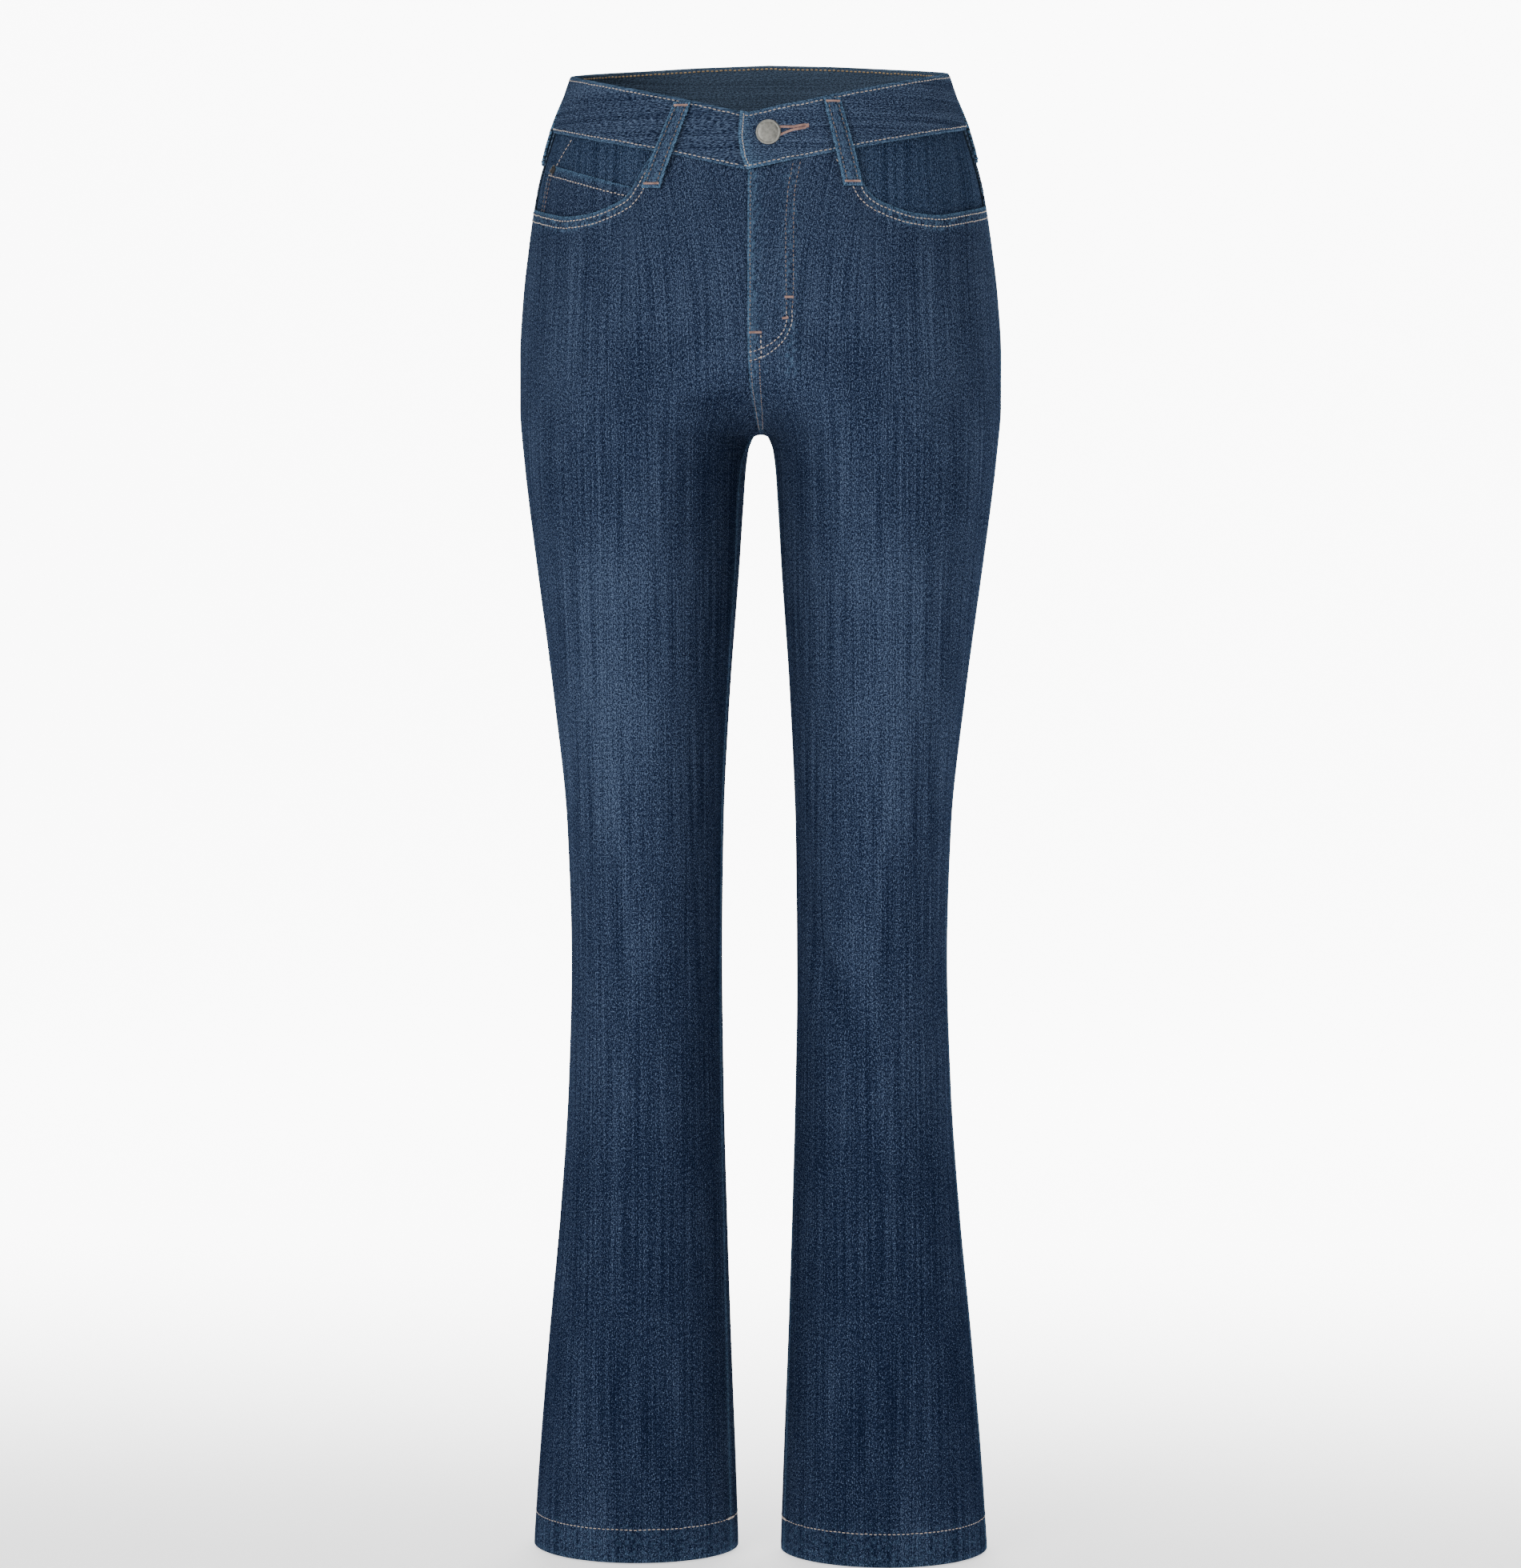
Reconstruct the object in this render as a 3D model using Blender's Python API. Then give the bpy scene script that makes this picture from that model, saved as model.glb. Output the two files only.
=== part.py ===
"""Bootcut jeans, filled out with no wearer.

The cloth is cut and joined as a maker would: two fronts, two backs, two yokes, a
waistband, hip facings behind the pocket mouths, patch pockets, belt loops, a fly
and turned-up hems. Every piece is a closed wall that follows one garment surface.

Sizes are in millimetres and are turned into metres when a mesh is made.
X runs to the wearer's left, Y to the back and Z up. The origin is the centre of
the waist, level with the top of the waistband at the sides.
"""

import math

import bmesh
import bpy
import numpy as np

MM = 0.001

# ----------------------------------------------------------------- named sizes
WALL = 1.2            # one layer of stretch denim with its seam allowance
BAND_WALL = 2.4       # waistband, two layers
BAND_DROP = 39.0      # height of the waistband
SEAM_GAP = 0.3        # between pieces sewn edge to edge
LAY_GAP = 0.35        # between pieces that lie on one another
FACING_GAP = 0.6      # between a front and the hip cloth behind it
HEM_HEIGHT = 25.0
HEM_Z = -1055.0
CROTCH_Z = -254.0
CROTCH_Y = 12.0
FRONT_RISE_CURVE = 60.0    # height over which the front rise turns under
BACK_RISE_CURVE = 100.0
RISE_POWER = 1.3
WEB = 8.5                  # half width of the flat under the crotch
WEB_BLEND = 3.5            # how fast it runs out into the thighs
SEAT_SINK = 6.0            # how far the back rise sinks between the seat lobes
FADE_Z = -200.0            # above this the rows follow the sloping waist

# one row per level: half width, inner edge, deepest point across, front, back,
# and the depth at which the side is widest
SECTION_COLUMNS = ("z", "side", "inner", "split", "front", "back", "mid")
SECTIONS = (
    (20.0, 126.5, 0.0, 16.0, -89.0, 91.0, 2.0),
    (0.0, 133.3, 0.0, 20.0, -91.0, 93.0, 2.0),
    (-40.0, 146.4, 0.0, 30.0, -97.0, 102.0, 3.0),
    (-80.0, 158.1, 0.0, 42.0, -102.0, 113.0, 4.0),
    (-120.0, 164.5, 0.0, 54.0, -105.0, 124.0, 6.0),
    (-160.0, 169.2, 0.0, 64.0, -105.0, 131.0, 8.0),
    (-200.0, 171.5, 0.0, 73.0, -103.0, 131.0, 9.0),
    (-235.0, 171.5, 0.0, 80.0, -100.0, 122.0, 8.0),
    (-254.0, 170.2, 0.0, 84.5, -97.5, 113.0, 6.5),
    (-254.6, 170.1, 3.7, 84.6, -97.4, 112.7, 6.4),
    (-256.3, 170.0, 5.5, 84.8, -97.2, 112.0, 6.3),
    (-259.8, 169.7, 7.2, 85.2, -96.8, 110.5, 6.2),
    (-264.4, 169.2, 8.8, 86.0, -96.0, 108.5, 5.8),
    (-280.0, 167.6, 10.9, 87.3, -94.0, 103.0, 5.0),
    (-303.0, 164.9, 12.5, 88.0, -92.0, 97.5, 4.0),
    (-349.0, 158.9, 15.3, 87.5, -88.0, 88.0, 2.0),
    (-441.0, 146.8, 21.8, 84.5, -81.0, 75.0, -2.0),
    (-533.0, 137.3, 25.9, 81.5, -74.0, 66.0, -4.0),
    (-625.0, 134.7, 27.0, 81.0, -68.0, 62.0, -3.0),
    (-718.0, 137.4, 26.0, 81.7, -64.0, 66.0, 0.0),
    (-810.0, 143.8, 23.7, 83.5, -62.0, 70.0, 3.0),
    (-902.0, 152.6, 20.8, 86.5, -62.0, 73.0, 5.0),
    (-994.0, 160.3, 17.4, 88.7, -62.0, 75.0, 6.0),
    (-1055.0, 164.4, 15.4, 90.0, -62.0, 75.0, 6.0),
)

# how far forward of the inner and the outer edge the leg seams run
SEAM_COLUMNS = ("z", "inseam", "outseam")
SEAMS = (
    (20.0, 0.0, 8.0), (-80.0, 0.0, 9.0), (-254.0, 0.0, 8.0), (-264.0, 14.0, 8.0),
    (-280.0, 23.0, 8.0), (-300.0, 24.0, 7.0), (-330.0, 21.0, 7.0), (-370.0, 17.0, 7.0),
    (-513.0, 10.0, 6.0), (-582.0, 8.0, 6.0), (-825.0, 12.5, 6.0), (-1028.0, 18.4, 7.0),
    (-1055.0, 19.0, 7.0),
)

# top of the waistband round the waist: share 0 is centre front, 1 side, 2 centre back
RIM_COLUMNS = ("share", "z")
RIM = ((0.0, -35.0), (0.25, -24.0), (0.5, -14.2), (0.75, -5.8), (1.0, 0.0),
       (1.25, 5.5), (1.5, 10.0), (1.75, 13.5), (2.0, 15.0))

# pocket mouth: distance round from centre front, and drop below the waistband
MOUTH_COLUMNS = ("round", "drop")
MOUTH = ((66.0, 0.0), (71.0, 11.0), (76.0, 23.5), (80.0, 32.5), (91.5, 42.0), (109.0, 50.4),
         (132.0, 54.6), (163.0, 54.0), (210.0, 52.5))

# coin pocket top edge, on the wearer's right facing
COIN_COLUMNS = ("round", "drop")
COIN = ((60.0, 26.5), (78.0, 26.4), (114.0, 24.0), (150.0, 22.0), (210.0, 21.0))
COIN_COLUMNS_USED = (2, 8)      # columns of the facing's own grid that it covers

YOKE_COLUMNS = ("share", "z")
YOKE_EDGE = ((0.8, -84.0), (1.0, -84.0), (1.5, -90.0), (2.0, -108.0))

# back patch pocket: first and last column and row of the back panel's own grid that it
# covers, and how far the rows dip at its point
BACK_POCKET_COLUMNS = (3, 9)
BACK_POCKET_ROWS = (1, 11)
BACK_POCKET_DIP = 17.0

LOOP_WIDTH = 12.0
LOOP_LENGTH = 62.0
LOOP_WALL = 2.0
LOOP_BOW = 2.2
# distance round from centre front of the top and the bottom of each front loop
FRONT_LOOPS = {"left": (57.0, 72.0), "right": (45.5, 67.0)}
# share round the half of the top and the bottom of each side loop
SIDE_LOOPS = {"left": (1.17, 1.115), "right": (1.10, 1.045)}

FLY_LAP = 3.0             # how far the other front runs on under the lapping one
FLY_LIFT = 1.8            # how far the lapping front rises over it
FLY_WIDTH = 34.0
TAB_LAP = (5.5, 6.5, 0.5)    # how far the band end runs past the centre: top, middle, foot
BAND_UNDERLAP = 24.0      # how far the other band end runs on under it
BUTTON_DIAMETER = 17.5
BUTTON_ROUND = 14.0
BUTTON_DROP = 17.0


# ------------------------------------------------------------------ smooth tables
class Smooth:
    """A monotone cubic through the rows of a short table."""

    def __init__(self, xs, ys):
        order = np.argsort(xs)
        self.x = np.asarray(xs, float)[order]
        self.y = np.asarray(ys, float)[order]
        h = np.diff(self.x)
        d = np.diff(self.y) / h
        m = np.zeros(len(self.x))
        m[0], m[-1] = d[0], d[-1]
        for i in range(1, len(m) - 1):
            if d[i - 1] * d[i] > 0:
                w1, w2 = 2 * h[i] + h[i - 1], h[i] + 2 * h[i - 1]
                m[i] = (w1 + w2) / (w1 / d[i - 1] + w2 / d[i])
        self.m = m

    def __call__(self, x):
        x = np.clip(np.asarray(x, float), self.x[0], self.x[-1])
        i = np.clip(np.searchsorted(self.x, x) - 1, 0, len(self.x) - 2)
        h = self.x[i + 1] - self.x[i]
        t = (x - self.x[i]) / h
        a = (1 + 2 * t) * (1 - t) ** 2
        b = t * (1 - t) ** 2
        c = t * t * (3 - 2 * t)
        e = t * t * (t - 1)
        return a * self.y[i] + b * h * self.m[i] + c * self.y[i + 1] + e * h * self.m[i + 1]


def table(columns, rows):
    """Turn a table with named columns into one smooth curve for each later column."""
    data = np.array(rows)
    return {name: Smooth(data[:, 0], data[:, k]) for k, name in enumerate(columns) if k}


SECTION = table(SECTION_COLUMNS, SECTIONS)
SEAM = table(SEAM_COLUMNS, SEAMS)
RIM_Z = table(RIM_COLUMNS, RIM)["z"]
MOUTH_DROP = table(MOUTH_COLUMNS, MOUTH)["drop"]
COIN_DROP = table(COIN_COLUMNS, COIN)["drop"]
YOKE_Z = table(YOKE_COLUMNS, YOKE_EDGE)["z"]


def smoothstep(t):
    t = np.clip(t, 0.0, 1.0)
    return t * t * (3 - 2 * t)


# --------------------------------------------------------------- garment surface
SAMPLES = 16


def section(z, back):
    """Sizes of one path, front or back, of the wearer's left half at height z."""
    z = np.asarray(z, float)
    above = z >= CROTCH_Z
    split, side, mid = SECTION["split"](z), SECTION["side"](z), SECTION["mid"](z)
    far = SECTION["back" if back else "front"](z)
    depth = np.clip(CROTCH_Z - z, 0.0, None)
    up = np.clip((z - CROTCH_Z) / (BACK_RISE_CURVE if back else FRONT_RISE_CURVE), 0.0, 1.0)
    turn = 1.0 - up ** RISE_POWER
    edge_y = CROTCH_Y * (1 - smoothstep(depth / 300.0))
    sink = np.where(above, SEAT_SINK * smoothstep((-60.0 - z) / 90.0), 0.0) if back else 0.0
    inner = np.where(above, 0.0, SECTION["inner"](z))
    smooth_inner = np.maximum(inner, WEB + 0.11 * np.minimum(depth, 24.0))
    start = np.where(above, WEB, smooth_inner)
    return split, side, mid, far, turn, edge_y, inner, start, sink


def path_point(sizes, t):
    """A point on a path: t 0 at its inner end, 1 at its deepest point, 2 at the side."""
    split, side, mid, far, turn, edge_y, inner, start, sink = sizes
    a = np.clip(t, 0.0, 1.0) * (math.pi / 2)
    b = np.clip(t - 1.0, 0.0, 1.0) * (math.pi / 2)
    run = (split - start) * (1 - np.cos(a))
    x_in = start + run - (start - inner) * np.exp(-run / WEB_BLEND)
    reach = np.sqrt(np.clip(1 - (turn * np.cos(a)) ** 2, 0.0, 1.0))
    y_in = edge_y + (far - edge_y) * reach - sink * np.cos(a) ** 2 * (1 - turn) ** 0.5
    x_out = split + (side - split) * np.sin(b)
    y_out = mid + (far - mid) * np.cos(b)
    return np.where(t <= 1.0, x_in, x_out), np.where(t <= 1.0, y_in, y_out)


def sampled(z, back):
    """Sizes of each path with the running length at its samples."""
    sizes = [np.broadcast_to(np.asarray(v, float), z.shape) for v in section(z, back)]
    t = np.linspace(0.0, 2.0, 2 * SAMPLES + 1)
    x, y = path_point([v[:, None] for v in sizes], t[None, :])
    step = np.hypot(np.diff(x, axis=1), np.diff(y, axis=1))
    run = np.hstack((np.zeros((len(z), 1)), np.cumsum(step, axis=1)))
    return sizes, run


def half_length(z, back=False):
    """Distance round one front or one back path at height z."""
    return sampled(np.atleast_1d(np.asarray(z, float)), back)[1][:, -1]


def surface(share, z):
    """Points of the left half: share 0 inner front, 1 side, 2 inner back, then on round."""
    share, z = np.broadcast_arrays(np.asarray(share, float), np.asarray(z, float))
    s, zf = share.ravel().copy(), z.ravel().astype(float)
    below = zf < CROTCH_Z
    s = np.where(below & (s > 2.0), s - 2.0, s)
    s = np.where(below & (s < 0.0), s + 2.0, s)
    out = np.empty((len(s), 3))
    out[:, 2] = zf
    for back in (False, True):
        pick = (s > 1.0) if back else (s <= 1.0)
        if not pick.any():
            continue
        sizes, run = sampled(zf[pick], back)
        want = np.clip((2.0 - s[pick]) if back else s[pick], 0.0, 1.0) * run[:, -1]
        i = np.clip((run < want[:, None]).sum(axis=1) - 1, 0, 2 * SAMPLES - 1)
        row = np.arange(len(i))
        r0, r1 = run[row, i], run[row, i + 1]
        t = (i + (want - r0) / np.maximum(r1 - r0, 1e-9)) / SAMPLES
        out[pick, 0], out[pick, 1] = path_point(sizes, t)
    return out.reshape(share.shape + (3,))


def normals(share, z, step=0.6):
    """Outward unit normals of the left half."""
    share, z = np.broadcast_arrays(np.asarray(share, float), np.asarray(z, float))
    length = half_length(z.ravel()).reshape(z.shape)
    ds = step / length
    above = z >= CROTCH_Z
    s0 = np.where(above, np.clip(share - ds, 0.0, 2.0), share - ds)
    s1 = np.where(above, np.clip(share + ds, 0.0, 2.0), share + ds)
    z0, z1 = np.where(above, np.maximum(z - step, CROTCH_Z), z - step), z + step
    z1 = np.where(above, z1, np.minimum(z1, CROTCH_Z - 0.01))
    along = surface(s1, z) - surface(s0, z)
    up = surface(share, z1) - surface(share, z0)
    n = np.cross(along, up)
    n = n / np.maximum(np.linalg.norm(n, axis=-1, keepdims=True), 1e-9)
    flat = (above & ((share < 1e-6) | (share > 2 - 1e-6)))[..., None]
    m = n * np.array([0.0, 1.0, 1.0])
    m = m / np.maximum(np.linalg.norm(m, axis=-1, keepdims=True), 1e-9)
    return np.where(flat & (np.abs(n[..., :1]) < 0.8), m, n)


def share_of(round_mm, z):
    """Share of the front path at a distance from centre front at height z."""
    return round_mm / half_length(np.ravel(z)).reshape(np.shape(z))


def lifted(share, z, out):
    """Surface points moved outward by out, kept on their own side of the centre."""
    p = surface(share, z) + normals(share, z) * np.asarray(out)[..., None]
    p[..., 0] = np.maximum(p[..., 0], SEAM_GAP / 2)
    return p


# ------------------------------------------------------------------- mesh makers
def new_object(name, color, roughness, metallic=0.0):
    mesh = bpy.data.meshes.new(name)
    part = bpy.data.objects.new(name, mesh)
    bpy.context.scene.collection.objects.link(part)
    material = bpy.data.materials.new(name + "_finish")
    material.use_nodes = True
    shader = material.node_tree.nodes["Principled BSDF"]
    shader.inputs["Base Color"].default_value = (*color, 1.0)
    shader.inputs["Roughness"].default_value = roughness
    shader.inputs["Metallic"].default_value = metallic
    mesh.materials.append(material)
    part.parent = bpy.data.objects.get("jeans")
    return part


def wall(name, outer, inner, color, mirror=False, ring=False):
    """Close two matching grids of points (rows, columns) into one solid wall."""
    rows, cols = outer.shape[:2]
    if mirror:
        outer, inner = outer * [-1, 1, 1], inner * [-1, 1, 1]
    part = new_object(name, color, 0.85)
    bm = bmesh.new()
    vo = [[bm.verts.new(p * MM) for p in row] for row in outer]
    vi = [[bm.verts.new(p * MM) for p in row] for row in inner]
    spans = cols if ring else cols - 1

    def face(*corners):
        bm.faces.new(corners if not mirror else corners[::-1])

    for j in range(rows - 1):
        for i in range(spans):
            k = (i + 1) % cols
            # one diagonal everywhere, so that pieces made from these points stay clear
            face(vo[j][i], vo[j + 1][i], vo[j + 1][k])
            face(vo[j][i], vo[j + 1][k], vo[j][k])
            face(vi[j + 1][k], vi[j + 1][i], vi[j][i])
            face(vi[j][k], vi[j + 1][k], vi[j][i])
    for i in range(spans):
        k = (i + 1) % cols
        face(vo[0][k], vi[0][k], vi[0][i], vo[0][i])
        face(vo[-1][i], vi[-1][i], vi[-1][k], vo[-1][k])
    if not ring:
        for j in range(rows - 1):
            face(vo[j][0], vi[j][0], vi[j + 1][0], vo[j + 1][0])
            face(vo[j + 1][-1], vi[j + 1][-1], vi[j][-1], vo[j][-1])
    bmesh.ops.recalc_face_normals(bm, faces=bm.faces)
    bm.to_mesh(part.data)
    bm.free()
    return part


def lathe(name, profile, centre, axis, color, roughness, metallic, segments=24):
    """Spin a closed profile of (radius, height) rows about an axis through centre."""
    part = new_object(name, color, roughness, metallic)
    axis = np.array(axis) / np.linalg.norm(axis)
    side = np.cross(axis, [0.0, 0.0, 1.0])
    side /= np.linalg.norm(side)
    third = np.cross(axis, side)
    bm = bmesh.new()
    rings = []
    for radius, height in profile:
        base = np.array(centre) + axis * height
        if radius == 0:
            rings.append([bm.verts.new(base * MM)])
            continue
        angles = [2 * math.pi * k / segments for k in range(segments)]
        rings.append([bm.verts.new((base + radius * (math.cos(a) * side
                                                     + math.sin(a) * third)) * MM)
                      for a in angles])
    for low, high in zip(rings, rings[1:]):
        for k in range(segments):
            n = (k + 1) % segments
            if len(low) == 1:
                bm.faces.new((low[0], high[k], high[n]))
            elif len(high) == 1:
                bm.faces.new((low[k], low[n], high[0]))
            else:
                bm.faces.new((low[k], low[n], high[n], high[k]))
    bmesh.ops.recalc_face_normals(bm, faces=bm.faces)
    bm.to_mesh(part.data)
    bm.free()
    return part


# --------------------------------------------------------------- rows and columns
FRONT_COLUMNS = np.array([0.0, 0.06, 0.13, 0.21, 0.29, 0.36, 0.395, 0.43, 0.50,
                          0.58, 0.67, 0.76, 0.85, 0.93, 1.0])
BACK_COLUMNS = np.array([0.0, 0.08, 0.17, 0.26, 0.345, 0.43, 0.52, 0.61, 0.695, 0.78,
                         0.86, 0.93, 1.0])
UPPER_ROWS = (0.0, 0.16, 0.32, 0.49, 0.66, 0.83)
LOWER_ROWS = (-200.0, -210.0, -220.0, -230.0, -240.0, -247.0, -251.0, -253.3,
              -254.7, -256.5, -260.0, -266.0, -278.0, -300.0, -330.0, -365.0, -410.0,
              -460.0, -515.0, -570.0, -625.0, -680.0, -740.0, -800.0, -860.0, -920.0,
              -980.0, -1030.0)


def band_bottom(share):
    """Height of the waistband's lower edge round the waist."""
    return RIM_Z(share) - BAND_DROP


def panel_top(share, mouth, side_gap=SEAM_GAP):
    """Top edge of a front: under the waistband, then along the pocket mouth."""
    z = band_bottom(share)
    if mouth:
        z = z - MOUTH_DROP(share * half_length(z))
    return z - side_gap


def rows_between(top, columns):
    """Heights of all rows: the upper rows run from the top edge down to level ones."""
    upper = [top + (FADE_Z - top) * r for r in UPPER_ROWS]
    lower = [np.full(len(columns), z) for z in LOWER_ROWS] + [np.full(len(columns), HEM_Z)]
    return np.array(upper + lower)


def trimmed(share, z, start, end):
    """Pull the first and last column in by half a seam gap."""
    length = half_length(z.ravel()).reshape(z.shape)
    half = SEAM_GAP / 2 / length
    share = share.copy()
    if start:
        share[:, 0] += half[:, 0]
    if end:
        share[:, -1] -= half[:, -1]
    return share


def trimmed_front(share, z):
    """Leave a seam gap at the side, and along the inseam below the crotch."""
    share = trimmed(share, z, False, True)
    length = half_length(z[:, 0])
    share[:, 0] += np.where(z[:, 0] < CROTCH_Z, SEAM_GAP / length, 0.0)
    return share


def width(z, back):
    """A panel's width along the cloth at height z, from its side seam to its inner edge."""
    edge = SEAM["inseam"](z) * (1.0 if back else -1.0)
    side = SEAM["outseam"](z) * (1.0 if back else -1.0)
    return half_length(np.ravel(z), back).reshape(np.shape(z)) + edge + side


def spread(columns, z, back):
    """Distance of each column from the side seam, 0 at the seam.

    Near the crotch the extra cloth of the inner thigh goes to the columns next to it.
    """
    total = width(z, back)
    high = CROTCH_Z + (BACK_RISE_CURVE if back else FRONT_RISE_CURVE)
    levels = np.array([-370.0, high])
    plain = np.interp(z, levels, width(levels, back))
    plain = np.where((z < levels[0]) | (z > levels[1]), total, plain)
    part = columns[None, :]
    return plain * part + (total - plain) * part ** 3


def front_grid(columns, z):
    """Shares of a front's columns on its rows, from the centre or inseam to the side."""
    length = half_length(z.ravel()).reshape(z.shape)
    away = spread(1.0 - columns, z, False) + SEAM["outseam"](z)
    return 1.0 - away / length


def front_edges(columns):
    """Shares of a front's columns at the level of its waistband edge."""
    z = np.full((1, len(columns)), -55.0)
    return front_grid(columns, z)[0]


def front_panel(name, color, mirror):
    base = front_edges(FRONT_COLUMNS)
    top = panel_top(base, mouth=True) - 0.6 * smoothstep((0.16 - base) / 0.1)
    z = rows_between(top, FRONT_COLUMNS)
    share = front_grid(FRONT_COLUMNS, z)
    share = trimmed_front(share, z)
    lift = np.zeros_like(share)
    if not mirror:
        # the lapping front bulges over the other one down to the foot of the fly
        length = half_length(z.ravel()).reshape(z.shape)
        across = share * length
        fade = smoothstep((z + 240.0) / 26.0)
        lift = FLY_LIFT * smoothstep((FLY_WIDTH + 6.0 - across) / 14.0) * fade
    outer, inner = lifted(share, z, lift), lifted(share, z, lift - WALL)
    if mirror:
        fade = smoothstep((z[:, 0] + 213.0) / 30.0)
        for layer in (outer, inner):
            layer[:, 0, 0] -= FLY_LAP * fade
            layer[:, 1, 0] -= 0.4 * FLY_LAP * fade
    return wall(name, outer, inner, color, mirror)


def back_grid(columns, z):
    """Shares of a back's columns on its rows, from the side to the centre or inseam."""
    front = half_length(z.ravel()).reshape(z.shape)
    back = half_length(z.ravel(), True).reshape(z.shape)
    away = spread(columns, z, True) - SEAM["outseam"](z)
    return np.where(away < 0, 1 + away / front,
                    np.where(away > back, 2 + (away - back) / front, 1 + away / back))


def back_rows(columns):
    base = back_grid(columns, np.full((1, len(columns)), -90.0))[0]
    top = YOKE_Z(base) - SEAM_GAP
    z = rows_between(top, columns)
    first, last = (columns[k] for k in BACK_POCKET_COLUMNS)
    middle, half = (first + last) / 2, (last - first) / 2
    dip = BACK_POCKET_DIP * np.clip(1 - np.abs(columns - middle) / half, 0.0, 1.0)
    weight = smoothstep((z + 150.0) / -80.0) * smoothstep((z + 480.0) / 170.0)
    return z - dip[None, :] * weight


def back_panel(name, color, mirror):
    z = back_rows(BACK_COLUMNS)
    share = trimmed(back_grid(BACK_COLUMNS, z), z, True, True)
    zero = np.zeros_like(share)
    return wall(name, lifted(share, z, zero), lifted(share, z, zero - WALL), color, mirror)


def yoke(name, color, mirror):
    columns = BACK_COLUMNS
    base = back_grid(columns, np.full((1, len(columns)), -70.0))[0]
    low, high = YOKE_Z(base), band_bottom(base) - SEAM_GAP
    z = np.array([high + (low - high) * r for r in (0.0, 0.5, 1.0)])
    share = trimmed(back_grid(columns, z), z, True, True)
    zero = np.zeros_like(share)
    return wall(name, lifted(share, z, zero), lifted(share, z, zero - WALL), color, mirror)


def facing_rows(base):
    """Heights of a facing's rows: band, coin pocket's top, middle, coin pocket's foot, end."""
    high = band_bottom(base)
    around = base * half_length(high)
    mouth = MOUTH_DROP(around)
    coin = COIN_DROP(around)
    foot = np.maximum(mouth + 9.0, 36.0)
    return np.array([high - SEAM_GAP, high - coin, high - (coin + foot) / 2, high - foot,
                     high - np.maximum(mouth + 22.0, 50.0)])


def facing_grid():
    base = front_edges(FRONT_COLUMNS)[4:]
    z = facing_rows(base)
    return front_grid(FRONT_COLUMNS[4:], z), z


def facing(name, color, mirror):
    """Hip cloth seen in the pocket mouth, a layer below the front."""
    share, z = facing_grid()
    share = trimmed(share, z, False, True)
    depth = np.full(share.shape, -WALL - FACING_GAP)
    if mirror:
        # it sinks under the coin pocket, which the front then overlaps
        first, last = COIN_COLUMNS_USED
        depth[1:, first - 1:last + 2] -= WALL + LAY_GAP
    return wall(name, lifted(share, z, depth), lifted(share, z, depth - WALL), color, mirror)


def coin_pocket(name, color):
    """Small pocket on the wearer's right facing, made from its points and moved out."""
    share, z = facing_grid()
    first, last = COIN_COLUMNS_USED
    share, z = share[1:4, first:last + 1], z[1:4, first:last + 1]
    depth = np.full(share.shape, -WALL - FACING_GAP)
    return wall(name, lifted(share, z, depth), lifted(share, z, depth - WALL), color, True)


def back_pocket(name, color, mirror):
    """Patch pocket, made from the back's own points and moved out."""
    z = back_rows(BACK_COLUMNS)
    share = back_grid(BACK_COLUMNS, z)
    (c0, c1), (r0, r1) = BACK_POCKET_COLUMNS, BACK_POCKET_ROWS
    share, z = share[r0:r1 + 1, c0:c1 + 1], z[r0:r1 + 1, c0:c1 + 1]
    out = np.full(share.shape, LAY_GAP)
    return wall(name, lifted(share, z, out + WALL), lifted(share, z, out), color, mirror)


def hem(name, color, mirror):
    """The turned-up cloth inside the foot of a leg, on the panels' own columns."""
    def levels(columns):
        return np.tile(np.array([HEM_Z + HEM_HEIGHT, HEM_Z])[:, None], (1, len(columns)))

    front = front_grid(FRONT_COLUMNS, levels(FRONT_COLUMNS))
    back = back_grid(BACK_COLUMNS, levels(BACK_COLUMNS))[:, 1:-1]
    share = np.hstack((front, back))
    z = levels(share[0])
    depth = np.full(share.shape, -WALL - LAY_GAP)
    return wall(name, lifted(share, z, depth), lifted(share, z, depth - WALL),
                color, mirror, ring=True)


def whole(signed, z, out):
    """Points round the whole waist, for pieces that cross the centre."""
    s = np.abs(signed)
    p = surface(s, z) + normals(s, z) * np.asarray(out)[..., None]
    p[..., 0] *= np.where(signed < 0, -1.0, 1.0)
    return p


def waistband(name, color):
    """One strip from the lapping end round the back to the end under the button."""
    length = float(half_length(-20.0)[0])
    body = np.linspace(0.20, 1.94, 20)
    left = np.concatenate(([-0.02, 0.03, 0.08, 0.12, 0.16], body))
    right = -np.concatenate((body[::-1], [0.14, 0.07, 0.01]))
    under = np.array([0.05, BAND_UNDERLAP / length])
    signed = np.concatenate((left, [2.0], right, under))
    s = np.abs(signed)
    drop = np.array([0.0, 0.5, 1.0])
    z = RIM_Z(s)[None, :] - BAND_DROP * drop[:, None]
    shares = np.tile(signed[None, :], (3, 1))
    shares[:, 0] = -np.array(TAB_LAP) / length     # the lapping end is cut on a slant
    lift = np.zeros(len(signed))
    count = len(left)
    lift[:count] = (BAND_WALL + LAY_GAP + 0.3) * smoothstep((0.20 - left) / 0.08)
    out = np.tile(lift[None, :], (3, 1)) + 0.6
    return wall(name, whole(shares, z, out), whole(shares, z, out - BAND_WALL), color)


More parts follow.
